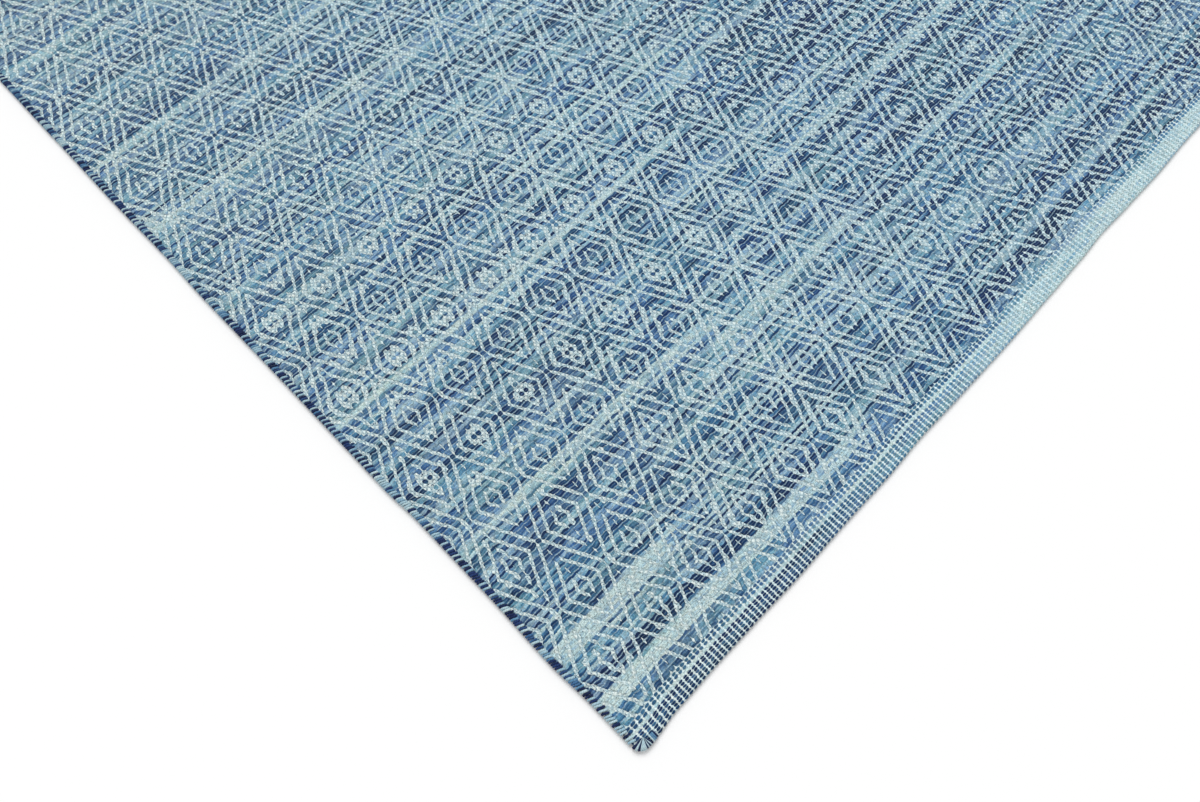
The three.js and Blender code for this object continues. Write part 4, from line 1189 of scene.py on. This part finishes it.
def stitch_path(s):
    """Points, directions along the edge and narrowing of one stitch of the long side at -X."""
    far_one = s["at"] > LENGTH / 2
    pts, dirs, squeeze = [], [], []
    if s["angle"] is not None:
        # a spoke of the fan: from the edge towards the fan's middle, on both faces
        hub = np.array([-HX + HUB_IN[0], -HY + HUB_IN[1]])
        a = math.radians(s["angle"])
        ray = np.array([math.cos(a), math.sin(a)])
        whole = to_edge(hub, ray)
        for n, z in SECTION:
            n2 = n if n < 2.5 else 2.5 + (n - 2.5) * (whole - 1.3 - 2.5) / (8.5 - 2.5)
            x, y = hub + ray * (whole - n2)
            flip = -1.0 if far_one else 1.0
            pts.append((x, y * flip, z))
            dirs.append((ray[1] * flip, -ray[0], 0.0))
            squeeze.append(float(np.clip((whole - n2) / whole * 1.15, 0.2, 1.0)))
    else:
        on_side = 0 <= s["at"] <= LENGTH - 2 * CORNER_R
        for k, (n, z) in enumerate(SECTION):
            n2 = n * s["reach"] / 8.5 if n > 2.5 else n
            # the inner end on top lies nearer the near corner, and so does the end below
            share = float(smooth(np.array((n2 - 0.9) / 7.2)))
            if k <= 6:
                lean = s["slant"] * (0.5 - share)
            else:
                lean = s["slant"] * 0.5 + (STITCH_PITCH - s["slant"]) * 0.5 * share
            (x, y), d = outline(s["at"] + (lean if on_side else 0.0), n2)
            pts.append((x, y, z))
            dirs.append((d[0], d[1], 0.0))
            squeeze.append(1.0)
    return np.array(pts), np.array(dirs), np.array(squeeze)


def stitches(side, rng):
    """The stitches of one long side, in four lengths."""
    buckets = [[] for _ in range(PANELS_Y)]
    cuts = [row_y[r] for r in seam_r[1:-1]]
    for s in stitch_list(rng):
        pts, dirs, squeeze = stitch_path(s)
        if side > 0:
            # the same work on the other side
            pts[:, 0] *= -1
            dirs[:, 0] *= -1
        px, py = place(pts[:, 0], pts[:, 1])
        centre = np.stack([px, py, pts[:, 2]], -1)
        ring = tube(centre, dirs, s["half"], 0.98, SIDES)
        # spokes narrow towards the middle of the fan
        k = squeeze[:, None, None]
        ring = centre[:, None] + (ring - centre[:, None]) * np.concatenate([k, k, np.ones_like(k)], 2)
        buckets[int(np.searchsorted(cuts, centre[:, 1].mean()))].append((ring, centre, s["tone"]))
    made = []
    for b, group in enumerate(buckets):
        rings, centres, tone_list = [g[0] for g in group], [g[1] for g in group], [g[2] for g in group]
        n, rows_n = len(group), len(SECTION)
        rings = np.array(rings)
        centres = np.array(centres)
        verts = rings.reshape(-1, 3)
        base = (np.arange(n) * rows_n * SIDES)[:, None, None]
        ii, kk = np.meshgrid(np.arange(rows_n - 1), np.arange(SIDES), indexing="ij")
        a = ii * SIDES + kk
        bq_ = ii * SIDES + (kk + 1) % SIDES
        quad = np.stack([a, bq_, bq_ + SIDES, a + SIDES], -1)[None] + base[..., None]
        quad = quad.reshape(-1, 4)
        length = np.concatenate([[0], np.cumsum(np.linalg.norm(np.diff(centres, axis=1), axis=2).mean(0))])
        cols = int(math.ceil(math.sqrt(n)))
        cu, cv = np.arange(n) % cols, np.arange(n) // cols
        pad = 0.06
        u0 = (kk + 0.0) / SIDES
        u1 = (kk + 1.0) / SIDES
        v0, v1 = ii / (rows_n - 1), (ii + 1) / (rows_n - 1)
        uu = np.stack([u0, u1, u1, u0], -1)[None]
        vv = np.stack([v0, v0, v1, v1], -1)[None]
        U = (cu[:, None, None, None] + pad + (1 - 2 * pad) * uu) / cols
        V = (cv[:, None, None, None] + pad + (1 - 2 * pad) * vv) / cols
        L = np.stack([length[ii], length[ii], length[ii + 1], length[ii + 1]], -1)[None] + 0 * U
        T = np.stack([kk / SIDES, (kk + 1) / SIDES, (kk + 1) / SIDES, kk / SIDES], -1)[None] + 0 * U
        weave = np.stack([L, T, 0 * L], -1).reshape(-1, 3)
        uv = np.stack([U, V], -1).reshape(-1, 2)
        per = (rows_n - 1) * SIDES
        tn = np.repeat(np.array(tone_list), per)
        kind = np.repeat(rng.rand(n), per)
        face = np.stack([tn, tn, kind], -1)
        # caps
        cap = []
        ring_i = np.arange(SIDES)
        for k in range(SIDES - 2):
            cap.append([0, ring_i[k + 2], ring_i[k + 1]])
        cap = np.array(cap)
        end = cap[:, ::-1] + (rows_n - 1) * SIDES
        caps = np.concatenate([cap, end])[None] + (np.arange(n) * rows_n * SIDES)[:, None, None]
        caps = caps.reshape(-1, 3)
        nc = len(caps) // n
        cap_w = np.zeros((len(caps) * 3, 3))
        cap_uv = np.stack([
            np.repeat((cu + 0.5) / cols, nc * 3) + np.tile([0, 0.004, 0], len(caps)),
            np.repeat((cv + 0.02) / cols, nc * 3) + np.tile([0, 0, 0.0006], len(caps))], -1)
        cap_t = np.stack([np.repeat(np.array(tone_list), nc)] * 2 + [np.zeros(len(caps))], -1)
        name = f"overcast_{'right' if side > 0 else 'left'}_{b + 1}"
        ob = make_mesh(name, verts * MM, quad, caps, corner={"weave": np.concatenate([weave, cap_w])},
                       face={"tones": np.concatenate([face, cap_t])}, uv=np.concatenate([uv, cap_uv]))
        ob.data.materials.append(yarn_mat)
        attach(ob, "root")
        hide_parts("overcast_right" if side > 0 else "overcast_left")
        made.append(ob)
    return made


left = stitches(-1, np.random.RandomState(5))
right_side = stitches(1, np.random.RandomState(9))

# ---- floor, light, camera -------------------------------------------------------------
floor_mesh = bpy.data.meshes.new("floor")
floor_mesh.from_pydata([(-7, -7, 0), (7, -7, 0), (7, 7, 0), (-7, 7, 0)], [], [(0, 1, 2, 3)])
floor = bpy.data.objects.new("floor", floor_mesh)
bpy.context.collection.objects.link(floor)
floor_mat = bpy.data.materials.new("pale_floor")
floor_mat.use_nodes = True
ft = floor_mat.node_tree
fb = ft.nodes["Principled BSDF"]
fb.inputs["Roughness"].default_value = 0.9
fb.inputs["Specular IOR Level"].default_value = 0.0
fn = ft.nodes.new("ShaderNodeTexNoise")
fn.inputs["Scale"].default_value = 3.0
fr = ft.nodes.new("ShaderNodeMapRange")
fr.inputs["To Min"].default_value, fr.inputs["To Max"].default_value = 0.93, 0.95
ft.links.new(fn.outputs["Fac"], fr.inputs["Value"])
fc = ft.nodes.new("ShaderNodeCombineXYZ")
for s in fc.inputs:
    ft.links.new(fr.outputs[0], s)
ft.links.new(fc.outputs[0], fb.inputs["Base Color"])
floor_mesh.materials.append(floor_mat)

world = bpy.data.worlds.new("studio")
bpy.context.scene.world = world
world.use_nodes = True
bg = world.node_tree.nodes["Background"]
bg.inputs["Color"].default_value = (1.0, 1.0, 1.0, 1.0)
bg.inputs["Strength"].default_value = 0.62

sun_data = bpy.data.lights.new("softbox", "SUN")
sun_data.energy = 1.97
sun_data.angle = math.radians(35)
sun = bpy.data.objects.new("softbox", sun_data)
bpy.context.collection.objects.link(sun)
# from beyond the rug, high up
sun_from = np.array([0.6, 0.78, 1.0])
sun_from /= np.linalg.norm(sun_from)
zaxis = sun_from
xaxis = np.cross([0, 0, 1.0], zaxis)
xaxis /= np.linalg.norm(xaxis)
yaxis = np.cross(zaxis, xaxis)
sun.matrix_world = Matrix([[xaxis[i], yaxis[i], zaxis[i], 3 * zaxis[i]] for i in range(3)] + [[0, 0, 0, 1]])

cam_data = bpy.data.cameras.new("camera")
cam_data.lens, cam_data.sensor_width = 25.33, 36.0
cam_data.clip_start, cam_data.clip_end = 0.02, 50.0
cam = bpy.data.objects.new("camera", cam_data)
bpy.context.collection.objects.link(cam)
RIGHT = (0.70225, -0.71180, -0.01368)
UP = (0.66928, 0.65351, 0.35354)
AHEAD = (0.24271, 0.25743, -0.93532)
CAMERA_AT = (-0.79540, -1.11374, 0.8235)
cam.matrix_world = Matrix(
    [[RIGHT[i], UP[i], -AHEAD[i], CAMERA_AT[i]] for i in range(3)] + [[0, 0, 0, 1]])
bpy.context.scene.camera = cam

bpy.context.scene.view_settings.view_transform = "Standard"
bpy.context.scene.view_settings.look = "None"
